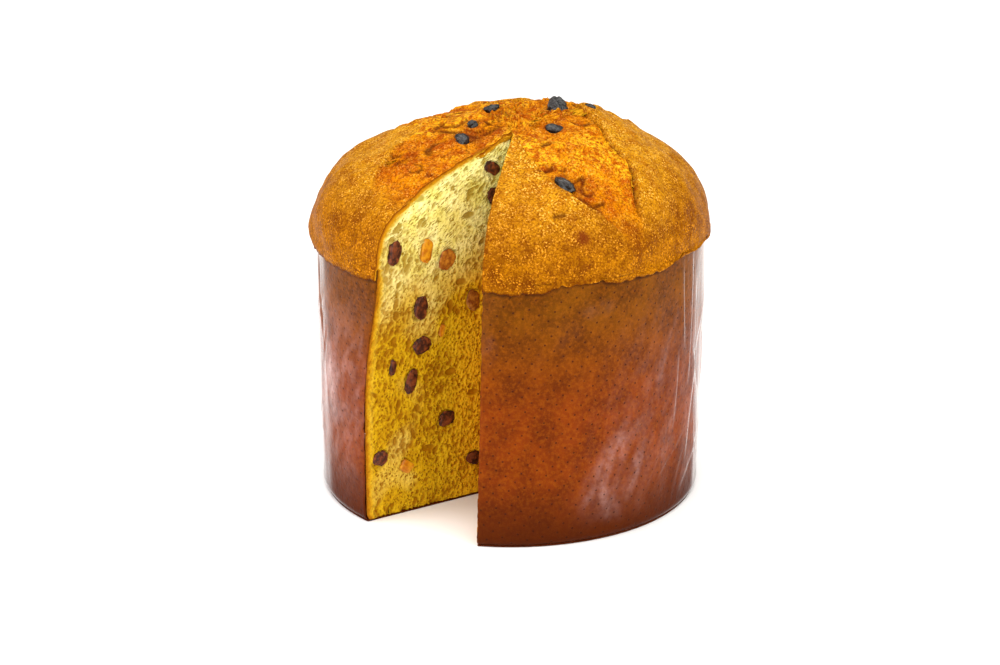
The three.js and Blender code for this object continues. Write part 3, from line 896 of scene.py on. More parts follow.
@dataclass(frozen=True)
class GreasedPaper(Finish):
    """Brown baking paper, shiny and stained by butter: soft blotches, creases, and rows of pinholes."""

    name: str = "greased_baking_paper"
    roughness: float = 0.32
    specular: float = 0.04
    hole_pitch: float = 4.8
    hole_radius: float = 0.33

    def build(self) -> bpy.types.Material:
        """Make the material.

        Returns:
            The paper's material, which reads the flat plan of the wall and the numbers height, dry and lee.
        """
        material, tree, place, height, dry, lee = self.start("height", "dry", "lee")
        plan = add(tree, "ShaderNodeUVMap", {"uv_map": "plan"})
        # Butter stains, about 13 mm and 2 mm across
        blotch = add(tree, NOISE, Vector=place, Scale=PER_MM / 13.0, Detail=4.0, Roughness=0.6)
        blotch = add(tree, RANGE, SOFT, Value=blotch, From_Min=0.3, From_Max=0.72)
        small = add(tree, NOISE, Vector=place, Scale=PER_MM / 1.8, Detail=4.0, Roughness=0.7)
        small = add(tree, RANGE, SOFT, Value=small, From_Min=0.4, From_Max=0.68, To_Max=0.28)
        low = add(tree, MIX, COLOUR, in_0=blotch, in_6="561E01", in_7="742E02")
        top = add(tree, MIX, COLOUR, in_0=blotch, in_6="4C2600", in_7="683A00")
        raised = add(tree, RANGE, SOFT, Value=height, From_Min=0.45, From_Max=0.95)
        colour = add(tree, MIX, COLOUR, in_0=raised, in_6=low, in_7=top)
        colour = add(tree, MIX, COLOUR, in_0=small, in_6=colour, in_7="9C5208")
        foot = add(tree, RANGE, SOFT, Value=height, From_Min=0.3, From_Max=0.0, To_Max=0.9)
        colour = add(tree, MIX, COLOUR, in_0=foot, in_6=colour, in_7="3E1400")
        # A pale pinkish sheen, a painted reflection, broken by flecks
        fleck = add(tree, NOISE, Vector=place, Scale=PER_MM / 2.6, Detail=4.0, Roughness=0.65)
        fleck = add(tree, RANGE, SOFT, Value=fleck, From_Min=0.36, From_Max=0.62, To_Min=0.45, To_Max=0.85)
        pale = add(tree, MATH, TIMES, in_0=dry, in_1=fleck)
        colour = add(tree, MIX, COLOUR, in_0=pale, in_6=colour, in_7="B68E88")
        # The shadow where the paper goes up behind the crust's lip
        colour = add(tree, MIX, COLOUR, in_0=lee, in_6=colour, in_7="2A1204")
        # Pinholes in rows that run slantwise round the wall
        tilt, scale = (0.0, 0.0, math.radians(34.0)), (PER_MM / self.hole_pitch,) * 3
        slant = add(tree, "ShaderNodeMapping", Vector=plan, Rotation=tilt, Scale=scale)
        cell = add(tree, VECTOR, {"operation": "FRACTION"}, in_0=slant)
        centred = add(tree, VECTOR, LESS, in_0=cell, in_1=(0.5, 0.5, 0.0))
        away = add(tree, VECTOR, {"operation": "LENGTH", "out": "Value"}, in_0=centred)
        radius = self.hole_radius / self.hole_pitch
        hole = add(tree, RANGE, SOFT, Value=away, From_Min=radius * 1.7, From_Max=radius * 0.8)
        some = add(tree, NOISE, Vector=place, Scale=PER_MM / 6.0)
        some = add(tree, RANGE, SOFT, Value=some, From_Min=0.25, From_Max=0.5, To_Max=0.75)
        faint = add(tree, MATH, TIMES, in_0=hole, in_1=some)
        colour = add(tree, MIX, COLOUR, in_0=faint, in_6=colour, in_7="2E1003")
        # The grease shines weakly where the paper is seen straight on and strongly at a glancing angle
        glancing = add(tree, "ShaderNodeLayerWeight", {"out": "Facing"}, Blend=0.35)
        shine = add(tree, RANGE, SOFT, Value=glancing, From_Min=0.5, From_Max=0.8)
        gloss = add(tree, RANGE, Value=dry, To_Min=self.specular, To_Max=0.14)
        dull = add(tree, NOISE, Vector=place, Scale=PER_MM / 9.0, Detail=3.0, Roughness=0.6)
        dull = add(tree, RANGE, Value=dull, To_Min=self.roughness - 0.1, To_Max=self.roughness + 0.15)
        wavy = add(tree, NOISE, Vector=place, Scale=PER_MM / 4.0, Detail=3.0, Roughness=0.6)
        bump = add(tree, BUMP, {"invert": True}, Strength=0.6, Distance=0.3 * MM, Height=hole)
        bump = add(tree, BUMP, Strength=0.45, Distance=0.8 * MM, Height=wavy, Normal=bump)
        shader = add(
            tree, SHADER, Base_Color=colour, Normal=bump, Roughness=dull, Specular_IOR_Level=gloss,
            Coat_Weight=shine, Coat_Roughness=0.12, Coat_IOR=1.5,
        )
        add(tree, OUTPUT, Surface=shader)
        return material


@dataclass(frozen=True)
class DriedFruit(Finish):
    """Raisin skin: wrinkled and half glossy, with brown flesh where it was cut through or black where it baked."""

    dark: str = "2E0E06"
    light: str = "7A3A1A"

    def build(self) -> bpy.types.Material:
        """Make the material.

        Returns:
            The fruit's material, which reads the numbers fold and amber.
        """
        material, tree, place, fold, amber = self.start("fold", "amber")
        tone = add(tree, NOISE, Vector=place, Scale=PER_MM / 2.2, Detail=3.0, Roughness=0.6)
        tone = add(tree, RANGE, SOFT, Value=tone, From_Min=0.34, From_Max=0.7)
        colour = add(tree, MIX, COLOUR, in_0=tone, in_6=self.dark, in_7=self.light)
        # Darkest in the folds of the wrinkles: painted shade
        colour = add(tree, MIX, COLOUR, in_0=fold, in_6=colour, in_7=self.dark)
        light = add(tree, MIX, COLOUR, in_0=tone, in_6="7E3A08", in_7="B87420")
        colour = add(tree, MIX, COLOUR, in_0=amber, in_6=colour, in_7=light)
        fine = add(tree, NOISE, Vector=place, Scale=PER_MM / 0.7, Detail=3.0, Roughness=0.6)
        bump = add(tree, BUMP, Strength=0.5, Distance=0.3 * MM, Height=fine)
        shader = add(
            tree, SHADER, Base_Color=colour, Normal=bump, Roughness=self.roughness, Specular_IOR_Level=self.specular
        )
        add(tree, OUTPUT, Surface=shader)
        return material


@dataclass(frozen=True)
class CandiedPeel(Finish):
    """Candied orange peel: a translucent sugary yellow-orange dice."""

    name: str = "candied_peel"
    roughness: float = 0.35
    specular: float = 0.3

    def build(self) -> bpy.types.Material:
        """Make the material.

        Returns:
            The peel's material.
        """
        material, tree, place = self.start()
        tone = add(tree, NOISE, Vector=place, Scale=PER_MM / 2.4, Detail=3.0, Roughness=0.6)
        tone = add(tree, RANGE, SOFT, Value=tone, From_Min=0.3, From_Max=0.7)
        colour = add(tree, MIX, COLOUR, in_0=tone, in_6="A85C08", in_7="CC8E16")
        shader = add(
            tree, SHADER, Base_Color=colour, Roughness=self.roughness, Specular_IOR_Level=self.specular,
            Subsurface_Weight=0.3, Subsurface_Radius=(1.0, 0.5, 0.1), Subsurface_Scale=1.2 * MM,
        )
        add(tree, OUTPUT, Surface=shader)
        return material


@dataclass(frozen=True)
class StudioFloor(Finish):
    """Plain matt white board."""

    name: str = "studio_floor"
    roughness: float = 0.8
    specular: float = 0.1

    def build(self) -> bpy.types.Material:
        """Make the material.

        Returns:
            The floor's material.
        """
        material, tree, _ = self.start()
        shader = add(tree, SHADER, Base_Color="F6F6F8", Roughness=self.roughness, Specular_IOR_Level=self.specular)
        add(tree, OUTPUT, Surface=shader)
        return material


# ---- the crust


@dataclass
class Crust:
    """The domed crust: a thin closed shell with the lip that hangs over the case, open where the wedge is gone."""

    form: LoafForm
    columns: int = 560
    rows: int = 140
    thickness: float = 2.1
    cut_stands: float = 0.12
    lip_radius: float = 87.25
    lip_under_radius: float = 86.95
    paper_gap: float = 0.35
    tuck_height: float = 117.8
    inner_radius: float = 85.0

    def angles(self) -> Array:
        """Angles round the rim from the right cut to the left cut, closer together on the front."""
        start = float(self.form.cut_angle(Side.RIGHT, self.form.dome_start))
        end = float(self.form.cut_angle(Side.LEFT, self.form.dome_start)) + 2.0 * math.pi
        angle = np.linspace(start, end, 2000)
        back = np.abs(angle - (start + end) / 2.0) / ((end - start) / 2.0)
        length = np.append(0.0, np.cumsum(0.75 + 0.6 * smooth(back, 0.3, 0.7)))[:-1]
        return np.interp(np.linspace(0.0, length[-1], self.columns), length, angle)

    def fan(self, angle: Array, share: Array) -> Array:
        """Unit disc places on a fan of lines from the inner end of the cut to the rim.

        The two outer lines follow the cuts: each line is straight, plus a part of each cut's own bend that fades
        with the sixth power of the way round.

        Args:
            angle: angles of the lines at the rim.
            share: shares of the way out, from 0 to 1.

        Returns:
            Shares by lines by x, y.
        """
        curves = {side: self.form.cut_curve(side)[0] for side in Side}
        inner = curves[Side.RIGHT][0]
        rim = np.stack([np.cos(angle), np.sin(angle)], axis=-1)
        disc = inner + share[:, None, None] * (rim - inner)
        way_round = (angle - angle[0]) / (angle[-1] - angle[0])
        for side, weight in ((Side.RIGHT, (1.0 - way_round) ** 6), (Side.LEFT, way_round**6)):
            curve = curves[side]
            chord = curve[-1] - inner
            at = (curve - inner) @ chord / (chord @ chord)
            bend = curve - (inner + at[:, None] * chord)
            here = np.stack([np.interp(share, at, bend[:, k]) for k in (0, 1)], axis=-1)
            disc = disc + here[:, None, :] * weight[None, :, None]
        return disc

    def relief(self, p: Array) -> tuple[Array, dict[str, Array]]:
        """Height of the crust's relief and what colours it, at points of the dome.

        The skin is smooth with broad lumps. Each flap's edge is a curve of tanh form: outside it, towards the middle,
        lies a crack and then the torn dough, whose folds are noise in steps, drawn out along the spokes. Folds in the
        list are soft ridges along lines.

        Args:
            p: points of the dome.

        Returns:
            Heights in millimetres, and the numbers open, crest, scar, stain and bake.
        """
        x, y = p[..., 0], p[..., 1]
        flat = np.stack([x, y, p[..., 2] * 0.6], axis=-1)
        wander = 1.1 * noise(flat, 13.0, 3) + 0.6 * noise(flat, 4.8, 5) + 0.3 * noise(flat, 1.8, 6)
        skin = np.zeros_like(x)
        scar = np.zeros_like(x)
        height = np.zeros_like(x)
        runs_out = smooth(np.hypot(x, y), 84.0, 72.0)
        broken = 0.55 + 0.45 * smooth(noise(flat, 8.0, 8), -0.3, 0.3)
        for flap in FLAPS:
            out, side = turned(x, y, flap.angle)
            inside = out - (flap.tip + flap.rise * np.tanh(np.abs(side) / flap.span)) + wander
            ahead = smooth(out, 0.0, 10.0) * runs_out
            here = smooth(inside, -0.3, 0.4)
            skin = np.maximum(skin, here * smooth(out, 0.0, 10.0))
            height += ahead * flap.lift * here * np.exp(-np.maximum(inside, 0.0) / 9.0)
            height -= ahead * flap.groove * 0.7 * (1.0 - here) * np.exp(-np.maximum(-inside, 0.0) / 5.0)
            # Each crack is sunk in and darkened with painted shade
            crack = bell(inside + 0.5, 0.5) * ahead * broken
            height -= 0.8 * flap.groove * crack
            scar = np.maximum(scar, crack * min(flap.groove, 1.0))
        for fold in FOLDS:
            start, way = np.array(fold.start), np.array(fold.end) - np.array(fold.start)
            off = np.stack([x, y], axis=-1) - start
            t = np.clip(off @ way / (way @ way), 0.0, 1.0)
            away = np.linalg.norm(off - t[..., None] * way, axis=-1)
            bump = bell(away + min(0.9, 0.4 * fold.width) * noise(flat, 5.0, 12), fold.width)
            height += fold.height * bump
            # Narrow dents are darkened with painted shade
            scar = np.maximum(scar, 0.9 * bump * (fold.height < 0.0) * (fold.width < 2.0))
        open_ = (1.0 - skin) * smooth(np.hypot(x - 8.0, y), 81.0, 68.0)
        broad = 0.9 * noise(p, 26.0, 1) + 1.1 * noise(p, 12.0, 2) + 0.38 * noise(p, 5.5, 4)
        # Torn dough pulls into long soft folds away from the middle, with a few short tears, sunk in and darkened with
        # painted shade
        spoke = np.arctan2(y - 2.0, x - 8.0) * 24.0
        reach = np.hypot(x - 8.0, y - 2.0)
        warp = 3.0 * noise(p, 9.0, 22)
        pull = np.stack([spoke + warp, reach * 0.42 + warp, np.zeros_like(x)], axis=-1)
        pull = pull * smooth(reach, 4.0, 22.0)[..., None] + p * smooth(reach, 22.0, 4.0)[..., None]
        level = 1.7 * noise(pull, 9.0, 24) + 0.7 * noise(p, 5.0, 26)
        part = level - np.floor(level)
        flakes = 0.95 * (np.floor(level) + smooth(part, 0.72, 1.0) + 0.35 * part)
        torn = flakes + 0.4 * layered(pull, 3.6, 21, 3) + 0.3 * ridged(p, 4.4, 25) - 0.2
        # The height of the torn dough, which carries a painted highlight on its crests
        crest = smooth(torn, -0.7, 1.3)
        height += broad - 0.3 + open_ * torn + 0.08 * layered(p, 2.4, 41, 2)
        tear = smooth(part, 0.6, 0.74) * smooth(part, 0.92, 0.8) * smooth(noise(flat, 9.0, 30), 0.05, 0.4)
        fine = smooth(ridged(pull, 4.4, 29), 0.84, 0.96) * smooth(noise(flat, 9.0, 28), 0.12, 0.4)
        tear = np.maximum(tear, fine) * open_
        height -= 0.4 * tear
        scar = np.maximum(scar, 0.8 * tear)
        stain = np.zeros_like(x)
        for lump in TOP_RAISINS:
            away = np.hypot(x - lump.place[0], y - lump.place[1])
            reach = (lump.size[0] + lump.size[1]) / 4.0
            height += 0.8 * (bell(away - reach - 1.2, 1.3) - bell(away, reach, 4))
            stain = np.maximum(stain, 0.45 * bell(away, reach + 1.6, 4))
        for sx, sy, radius, strength in STAINS:
            away = np.hypot(x - sx, y - sy) + 1.2 * noise(flat, 3.0, 51)
            stain = np.maximum(stain, strength * bell(away, radius))
            height += 0.7 * bell(away, radius + 1.0) * (radius < 3.0)
        # Lighter high up and darker low down: partly the baking, partly painted light from above and painted shade
        # below
        bake = smooth(p[..., 2] + 7.0 * noise(p, 22.0, 61) + 3.0 * noise(p, 9.0, 62), 124.0, 166.0)
        return height, {"open": open_, "crest": crest, "scar": np.clip(scar, 0.0, 1.0), "stain": stain, "bake": bake}

    def outer(self, angle: Array) -> tuple[Array, dict[str, Array]]:
        """The outer face of the dome, from the inner end of the cut to the rim.

        The rows lie evenly along the mean of the lines.

        Args:
            angle: angles of the lines at the rim.

        Returns:
            Rows by columns of points, and the relief's numbers.
        """
        t = np.linspace(0.0, 1.0, 400)
        share = 1.0 - (1.0 - t) ** self.form.height_power
        trial = self.form.dome(self.fan(angle[:: len(angle) // 24], share))
        length = np.append(0.0, np.cumsum(np.linalg.norm(np.diff(trial, axis=0), axis=-1).mean(axis=1)))
        even = np.interp(np.linspace(0.0, length[-1], self.rows), length, t)
        dome = self.form.dome(self.fan(angle, 1.0 - (1.0 - even) ** self.form.height_power))
        normal = grid_normals(dome)
        normal[0] = normal[1].mean(axis=0)
        normal /= np.linalg.norm(normal, axis=-1, keepdims=True)
        height, values = self.relief(dome)
        height[0] = height[1].mean()
        values = {k: np.concatenate([np.full((1, v.shape[1]), v[1].mean()), v[1:]]) for k, v in values.items()}
        return dome + normal * height[..., None], values

    def build(self) -> Surface:
        """Put the shell together: outer face, lip, inner face, and the two cut edges.

        Returns:
            A closed surface.
        """
        angle = self.angles()
        outer, values = self.outer(angle)
        rim = outer[-1]
        edge = self.form.lip(np.where(angle > math.pi, angle - 2.0 * math.pi, angle))
        ring = np.stack([np.cos(angle), np.sin(angle)], axis=-1)
        rim_radius = np.linalg.norm(rim[:, :2], axis=-1)
        groove = self.form.case_top_radius + self.paper_gap
        puff = 0.35 * noise(np.concatenate([ring * 86.0, angle[:, None] * 0.0], axis=-1), 8.0, 71)
        profile = []
        for t in np.linspace(0.0, 1.0, 7)[1:]:
            bulge = rim_radius * (1.0 - t) + (self.lip_radius + puff) * t + 0.4 * math.sin(math.pi * t)
            profile.append((bulge, rim[:, 2] * (1.0 - t) + (edge + 0.25) * t))
        profile.append((self.lip_under_radius + puff, edge))
        profile.append((np.full_like(edge, groove), edge + 0.25))
        profile.append((np.full_like(edge, groove), np.full_like(edge, self.tuck_height)))
        lip = np.stack([np.concatenate([ring * r[:, None], z[:, None]], axis=-1) for r, z in profile])
        thin = np.unique(np.linspace(0, self.rows - 1, 16).astype(int))[::-1]
        dome = outer[thin]
        inner = dome - grid_normals(outer)[thin] * self.thickness
        inner[-1] = inner[-2].mean(axis=0) * 0.2 + (outer[0, 0] - np.array([0.0, 0.0, self.thickness])) * 0.8
        inner[0, :, :2] = ring * self.inner_radius
        points = np.concatenate([outer, lip, inner])
        turn = self.rows + len(profile) - 3
        for column, side in ((0, Side.RIGHT), (-1, Side.LEFT)):
            z = points[:, column, 2]
            inward = self.form.cut_inward(side, z)
            out = ((points[:, column, :2] - self.form.apex(z)) * inward).sum(axis=-1)
            ragged = self.cut_stands + 0.12 * noise(points[:, column], 1.6, 77)
            points[:, column, :2] -= inward * (out + ragged)[:, None]
        points[0], points[-1] = points[0, 0].copy(), points[-1, 0].copy()
        index = numbered(points, poles=True)
        faces = [grid_faces(index)]
        numbers = {k: np.zeros(points.shape[:2]) for k in (*values, "section")}
        for key, value in values.items():
            numbers[key][: self.rows] = value
            numbers[key][self.rows : self.rows + len(profile)] = value[-1]
        # Painted shade on the lip where it turns under
        numbers["scar"][self.rows + 5 : self.rows + len(profile)] = 0.9
        numbers["scar"][self.rows + 4] = 0.35
        numbers["section"][turn + 1 :] = 1.0
        flat = [points.reshape(-1, 3)]
        stack = {k: [v.ravel()] for k, v in numbers.items()}
        for column, flip in ((0, True), (-1, False)):
            # A line just inside the edge of the skin keeps the colour of the cut from bleeding over the skin
            skin, under = points[: turn + 1, column], points[turn:, column][::-1]
            at, under_at = (run / run[-1] for run in (run_length(skin), run_length(under)))
            toward = np.stack([np.interp(at, under_at, under[:, k]) for k in range(3)], axis=-1) - skin
            step = toward / np.maximum(np.linalg.norm(toward, axis=-1, keepdims=True), 1e-6) * 0.15
            own = np.arange(turn + 1) + sum(len(q) for q in flat)
            own[0], own[-1] = index[0, column], index[turn, column]
            flat.append(skin + step)
            for key in stack:
                stack[key].append(np.full(turn + 1, 0.08 if key == "section" else 0.0))
            strip = zipped(own, index[turn:, column][::-1], at, under_at)
            faces += [band(index[: turn + 1, column], own, flip), strip[:, ::-1] if flip else strip]
        numbers = {k: np.concatenate(v) for k, v in stack.items()}
        return Surface(np.concatenate(flat), faces, numbers, flat=tuple(range(1, len(faces))))


# ---- the crumb


@dataclass
class CrumbFace:
    """One cut face of the crumb: a slab whose front is a field of opened bubbles."""

    form: LoafForm
    side: Side
    fruit: tuple[Lump, ...]
    rows: int = 440
    columns: int = 200
    pitch: float = 0.2
    raster: tuple[float, float] = (80.0, 180.0)
    margin: float = 4.0
    bubble_pitch: float = 0.95
    behind_apex: float = 2.5
    paper_gap: float = 0.75
    crust_overlap: float = 1.2
    middle: tuple[float, float] = (30.0, 80.0)
    back: float = 7.0
    back_share: float = 0.94

    def outline(self) -> Array:
        """The outer edge of the face: up the wall of the case, then along the crust to the inner end of the cut.

        Returns:
            Points as distance along the face and height, from the foot to the top.
        """
        z = np.linspace(self.form.base_thickness + 0.1, self.form.dome_start - 1.0, 160)
        radius = self.form.case_radius(z) - self.paper_gap
        along = ray_length(self.form.apex(z), self.form.cut_direction(self.side, z), radius)
        disc, reach = self.form.cut_curve(self.side, 700)
        dome = np.stack([reach, self.form.dome(disc)[:, 2]], axis=-1)[::-1]
        tangent = np.gradient(dome, axis=0)
        tangent /= np.maximum(np.linalg.norm(tangent, axis=-1, keepdims=True), 1e-9)
        inside = dome + np.stack([-tangent[:, 1], tangent[:, 0]], axis=-1) * self.crust_overlap
        inside = inside[(inside[:, 1] > z[-1] + 0.4) & (inside[:, 0] > 0.3)]
        return np.concatenate([np.stack([along, z], axis=-1), inside])

    def flow(self, z: Array) -> Array:
        """Lean of the bubbles from upright towards the inner edge, in radians: more of it higher up."""
        return np.radians(12.0 + 40.0 * smooth(z, 70.0, 150.0))

    def bubbles(self) -> tuple[Array, Array]:
        """Depth of the opened bubbles on a fine raster of the face.

        Each bubble is an ellipsoid cut by the face; the depth is the deepest of all. They are stamped offset by offset,
        for all bubbles at once.

        Returns:
            Depths in millimetres, and how far into a bubble each place is, from 0 to 1.
        """
        rng = np.random.default_rng(11 if self.side is Side.LEFT else 12)
        wide, tall = self.raster
        size = (int(tall / self.pitch), int(wide / self.pitch))
        spans = ((-self.margin, wide - self.margin), (0.0, tall - self.margin))
        steps = (np.arange(low, high, self.bubble_pitch) for low, high in spans)
        cells = np.stack(np.meshgrid(*steps), axis=-1).reshape(-1, 2)
        centre = cells + rng.uniform(-0.6, 0.6, cells.shape)
        radius = np.clip(0.42 * np.exp(rng.normal(0.0, 0.4, len(centre))), 0.2, 1.3)
        radius *= 1.0 + 0.35 * noise(np.concatenate([centre, centre[:, :1] * 0.0], axis=-1), 16.0, 91)
        lift = rng.uniform(-0.55, 0.35, len(centre)) * radius
        stretch = rng.uniform(1.2, 2.3, len(centre))
        lean = self.flow(centre[:, 1]) + rng.normal(0.0, 0.35, len(centre))
        for x, z, width, height in BIG_BUBBLES[self.side]:
            centre = np.concatenate([centre, [[x, z]]])
            radius = np.append(radius, height / 2.0)
            lift = np.append(lift, -0.2)
            stretch = np.append(stretch, width / height)
            lean = np.append(lean, math.pi / 2.0)
        depth = np.zeros(size)
        inside = np.zeros(size)
        base = np.round((centre + np.array([self.margin, 0.0])) / self.pitch).astype(int)
        for group in (radius < 0.8, (radius >= 0.8) & (radius < 1.5), radius >= 1.5):
            reach = int(math.ceil((radius[group] * stretch[group]).max() / self.pitch)) + 1
            for i, j in itertools.product(range(-reach, reach + 1), repeat=2):
                column, row = base[group, 0] + i, base[group, 1] + j
                dx = column * self.pitch - self.margin - centre[group, 0]
                dz = row * self.pitch - centre[group, 1]
                a = lean[group]
                along = dz * np.cos(a) - dx * np.sin(a)
                across = dz * np.sin(a) + dx * np.cos(a)
                q = (along / (radius[group] * stretch[group])) ** 2 + (across / radius[group]) ** 2
                deep = radius[group] * np.sqrt(np.maximum(1.0 - q, 0.0)) + lift[group]
                ok = (q < 1.0) & (deep > 0.0) & (column >= 0) & (column < size[1]) & (row >= 0) & (row < size[0])
                np.maximum.at(depth, (row[ok], column[ok]), deep[ok])
                np.maximum.at(inside, (row[ok], column[ok]), np.minimum(deep[ok] / 0.9, 1.0))
        return depth, inside

    def sample(self, raster: Array, along: Array, z: Array) -> Array:
        """Read a raster at places of the face, blending its four nearest cells."""
        u = np.clip((along + self.margin) / self.pitch, 0.0, raster.shape[1] - 1.001)
        v = np.clip(z / self.pitch, 0.0, raster.shape[0] - 1.001)
        i, j = np.floor(u).astype(int), np.floor(v).astype(int)
        fu, fv = u - i, v - j
        low = raster[j, i] * (1.0 - fu) + raster[j, i + 1] * fu
        high = raster[j + 1, i] * (1.0 - fu) + raster[j + 1, i + 1] * fu
        return low * (1.0 - fv) + high * fv

    def build(self) -> Surface:
        """Make the slab.

        The front is a grid whose rows run from the inner edge of the cut to the outline. Its depth is that of the
        bubbles, with a slight wave of the cut and fine roughness. Sides and back are plain.

        Returns:
            A closed surface with the numbers warm, pore, edge and inner.
        """
        outline = self.outline()
        run = run_length(outline)
        t = np.linspace(0.0, 1.0, self.rows)
        out = np.stack([np.interp(t * run[-1], run, outline[:, k]) for k in (0, 1)], axis=-1)
        start_height = outline[0, 1] + (out[-1, 1] - outline[0, 1]) * t
        start = np.stack([np.full(self.rows, -self.behind_apex), start_height], axis=-1)
        s = np.linspace(0.0, 1.0, self.columns)[None, :, None]
        flat = start[:, None, :] * (1.0 - s) + out[:, None, :] * s
        along, z = flat[..., 0], flat[..., 1]
        depth, inside = self.bubbles()
        space = np.stack([along, z, np.zeros_like(z)], axis=-1)
        pore = self.sample(inside, along, z)
        deep = 0.95 * self.sample(depth, along, z)
        # Nearness to the outer edge, in millimetres: the crumb is denser there, and browner
        normal_gap = np.linalg.norm(flat - out[:, None, :], axis=-1)
        lean = np.abs(np.gradient(out[:, 0])) / np.maximum(np.linalg.norm(np.gradient(out, axis=0), axis=-1), 1e-9)
        gap = normal_gap * (1.0 - 0.45 * lean[:, None])
        dense = smooth(gap, 0.3, 5.0)
        deep *= 0.35 + 0.65 * dense
        # Round each fruit the crumb sinks into a hollow ring, darkened through the bubble number as painted shade
        for lump in self.fruit:
            u, v = turned(along - lump.place[0], z - lump.place[1], -lump.turn * self.side.value)
            q = 2.0 * np.hypot(u / lump.size[0], v / lump.size[1]) + 0.25 * noise(space, 2.4, 95)
            hollow = bell(q - 1.05, 0.2) * smooth(noise(space, 3.0, 96), -0.5, 0.4)
            under = bell(q, 1.0, 6)
            deep = deep * (1.0 - under) + 0.9 * hollow + 1.5 * under
            pore = np.maximum(pore * (1.0 - under), 0.5 * hollow)
        # The slow waves lie askew, so that none of them runs level across the face
        askew = np.stack([*turned(along, z, 33.0), np.zeros_like(z)], axis=-1)
        wave = 0.3 * noise(askew, 30.0, 81) + 0.12 * noise(askew, 9.0, 82)
        rough = 0.16 * noise(space, 1.3, 83) + 0.10 * noise(space, 0.7, 84)
        fade = smooth(along, -0.5, 1.5) * smooth(normal_gap, 0.0, 0.6)
        depth_now = (deep + wave + rough) * fade
        points = self.form.face_point(self.side, along, z, depth_now)
        # Gold low on the face and towards the inner edge: partly the crumb's own tone, partly painted shade of the
        # narrow wedge
        warm = 0.04 + 0.96 * smooth(z, 150.0, 74.0) + 0.35 * smooth(along, 46.0, 4.0) * smooth(z, 164.0, 120.0)
        warm = np.clip(warm + 0.18 * noise(askew, 12.0, 86), 0.0, 1.0)
        side_wall = smooth(out[:, 1], 118.0, 112.0)[:, None]
        edge = np.clip(gap / (3.2 + 1.6 * side_wall) + 0.14 * noise(space, 1.8, 87) * smooth(gap, 0.2, 1.0), 0.0, 1.0)
        # Where a lighter orange is painted as light: low near the inner edge, which lies in the wedge's shade
        inner = smooth(along, 34.0, 3.0) * smooth(z, 146.0, 96.0)
        numbers = {"warm": warm, "pore": np.clip(pore, 0.0, 1.0), "edge": edge, "inner": inner}
        numbers = {key: value.ravel() for key, value in numbers.items()}
        # A plan whose second axis runs with the flow of the bubbles, at half scale, so that they are drawn long
        level = np.linspace(-5.0, 185.0, 400)
        shift = np.append(0.0, np.cumsum(np.tan(self.flow(level))[:-1] * np.diff(level)))
        plan = np.stack([along + np.interp(z, level, shift), z * 0.62], axis=-1)
        plan += 0.7 * np.stack([noise(space, 5.0, 88), noise(space, 5.0, 89)], axis=-1)
        return self.closed(points, numbers, plan.reshape(-1, 2))

    def closed(self, points: Array, numbers: dict[str, Array], plan: Array) -> Surface:
        """Close the slab: a rim that runs back from the front's edge while it draws in, and a fan to one point.

        Args:
            points: rows by columns of the front.
            numbers: what each point of the front carries.
            plan: the plan place of each point of the front.

        Returns:
            The closed surface.
        """
        index = numbered(points)
        loop = np.concatenate([index[0, :-1], index[:-1, -1], index[-1, :0:-1], index[:0:-1, 0]])
        front = points.reshape(-1, 3)
        centre = self.form.face_point(self.side, *(np.array([v]) for v in (*self.middle, self.back)))[0]
        inward = np.append(self.form.cut_inward(self.side, self.middle[1]), 0.0)
        off = front[loop] - centre
        rim = centre + (off - inward * (off @ inward)[:, None]) * self.back_share
        number = len(front) + np.arange(len(loop))
        strip = np.stack([loop, np.roll(loop, -1), np.roll(number, -1), number], axis=-1)
        fan = np.stack([number, np.roll(number, -1), np.full(len(loop), len(front) + len(loop))], axis=-1)
        faces = [f[:, ::-1] if self.side is Side.RIGHT else f for f in (grid_faces(index), strip, fan)]
        values = {k: np.concatenate([v, v[loop], [0.5]]) for k, v in numbers.items()}
        plan = np.concatenate([plan, plan[loop], plan[:1]])
        return Surface(np.concatenate([front, rim, centre[None]]), faces, values, plan)


# ---- the paper case


@dataclass(frozen=True)
class Sheen:
    """A place where a pale sheen, a painted reflection, is laid on the paper.

    Attributes:
        place: angle round the wall in degrees, and height in millimetres.
        size: half its length and half its width in millimetres.
        tilt: its turn from level in degrees.
        strength: from 0 to 1.
    """

    place: tuple[float, float]
    size: tuple[float, float]
    tilt: float
    strength: float


SHEENS = (
    Sheen((-14.0, 74.0), (24.0, 7.0), 62.0, 0.25),
    Sheen((-31.0, 40.0), (18.0, 6.0), 50.0, 0.5),
    Sheen((-24.0, 30.0), (14.0, 5.0), 60.0, 0.45),
    Sheen((-8.0, 44.0), (20.0, 5.0), 70.0, 0.4),
    Sheen((-18.0, 50.0), (44.0, 24.0), 80.0, 0.14),
    Sheen((3.0, 62.0), (60.0, 8.0), 90.0, 0.3),
    Sheen((-38.0, 105.0), (6.0, 3.0), 10.0, 0.12),
    Sheen((-130.0, 62.0), (26.0, 6.0), 100.0, 0.9),
    Sheen((-137.0, 44.0), (24.0, 8.0), 75.0, 0.9),
    Sheen((-148.0, 64.0), (44.0, 9.0), 90.0, 1.0),
    Sheen((-112.0, 84.0), (20.0, 2.0), 82.0, 0.5),
    Sheen((-124.0, 60.0), (34.0, 22.0), 90.0, 0.5),
)

# Long upright folds of the paper: angle round the wall in degrees, middle height and half length in millimetres
UPRIGHT_FOLDS = (
    (-3.0, 96.0, 26.0),
    (3.0, 88.0, 36.0),
    (9.0, 60.0, 48.0),
    (-6.0, 58.0, 22.0),
    (-139.0, 70.0, 40.0),
    (-146.0, 60.0, 46.0),
)


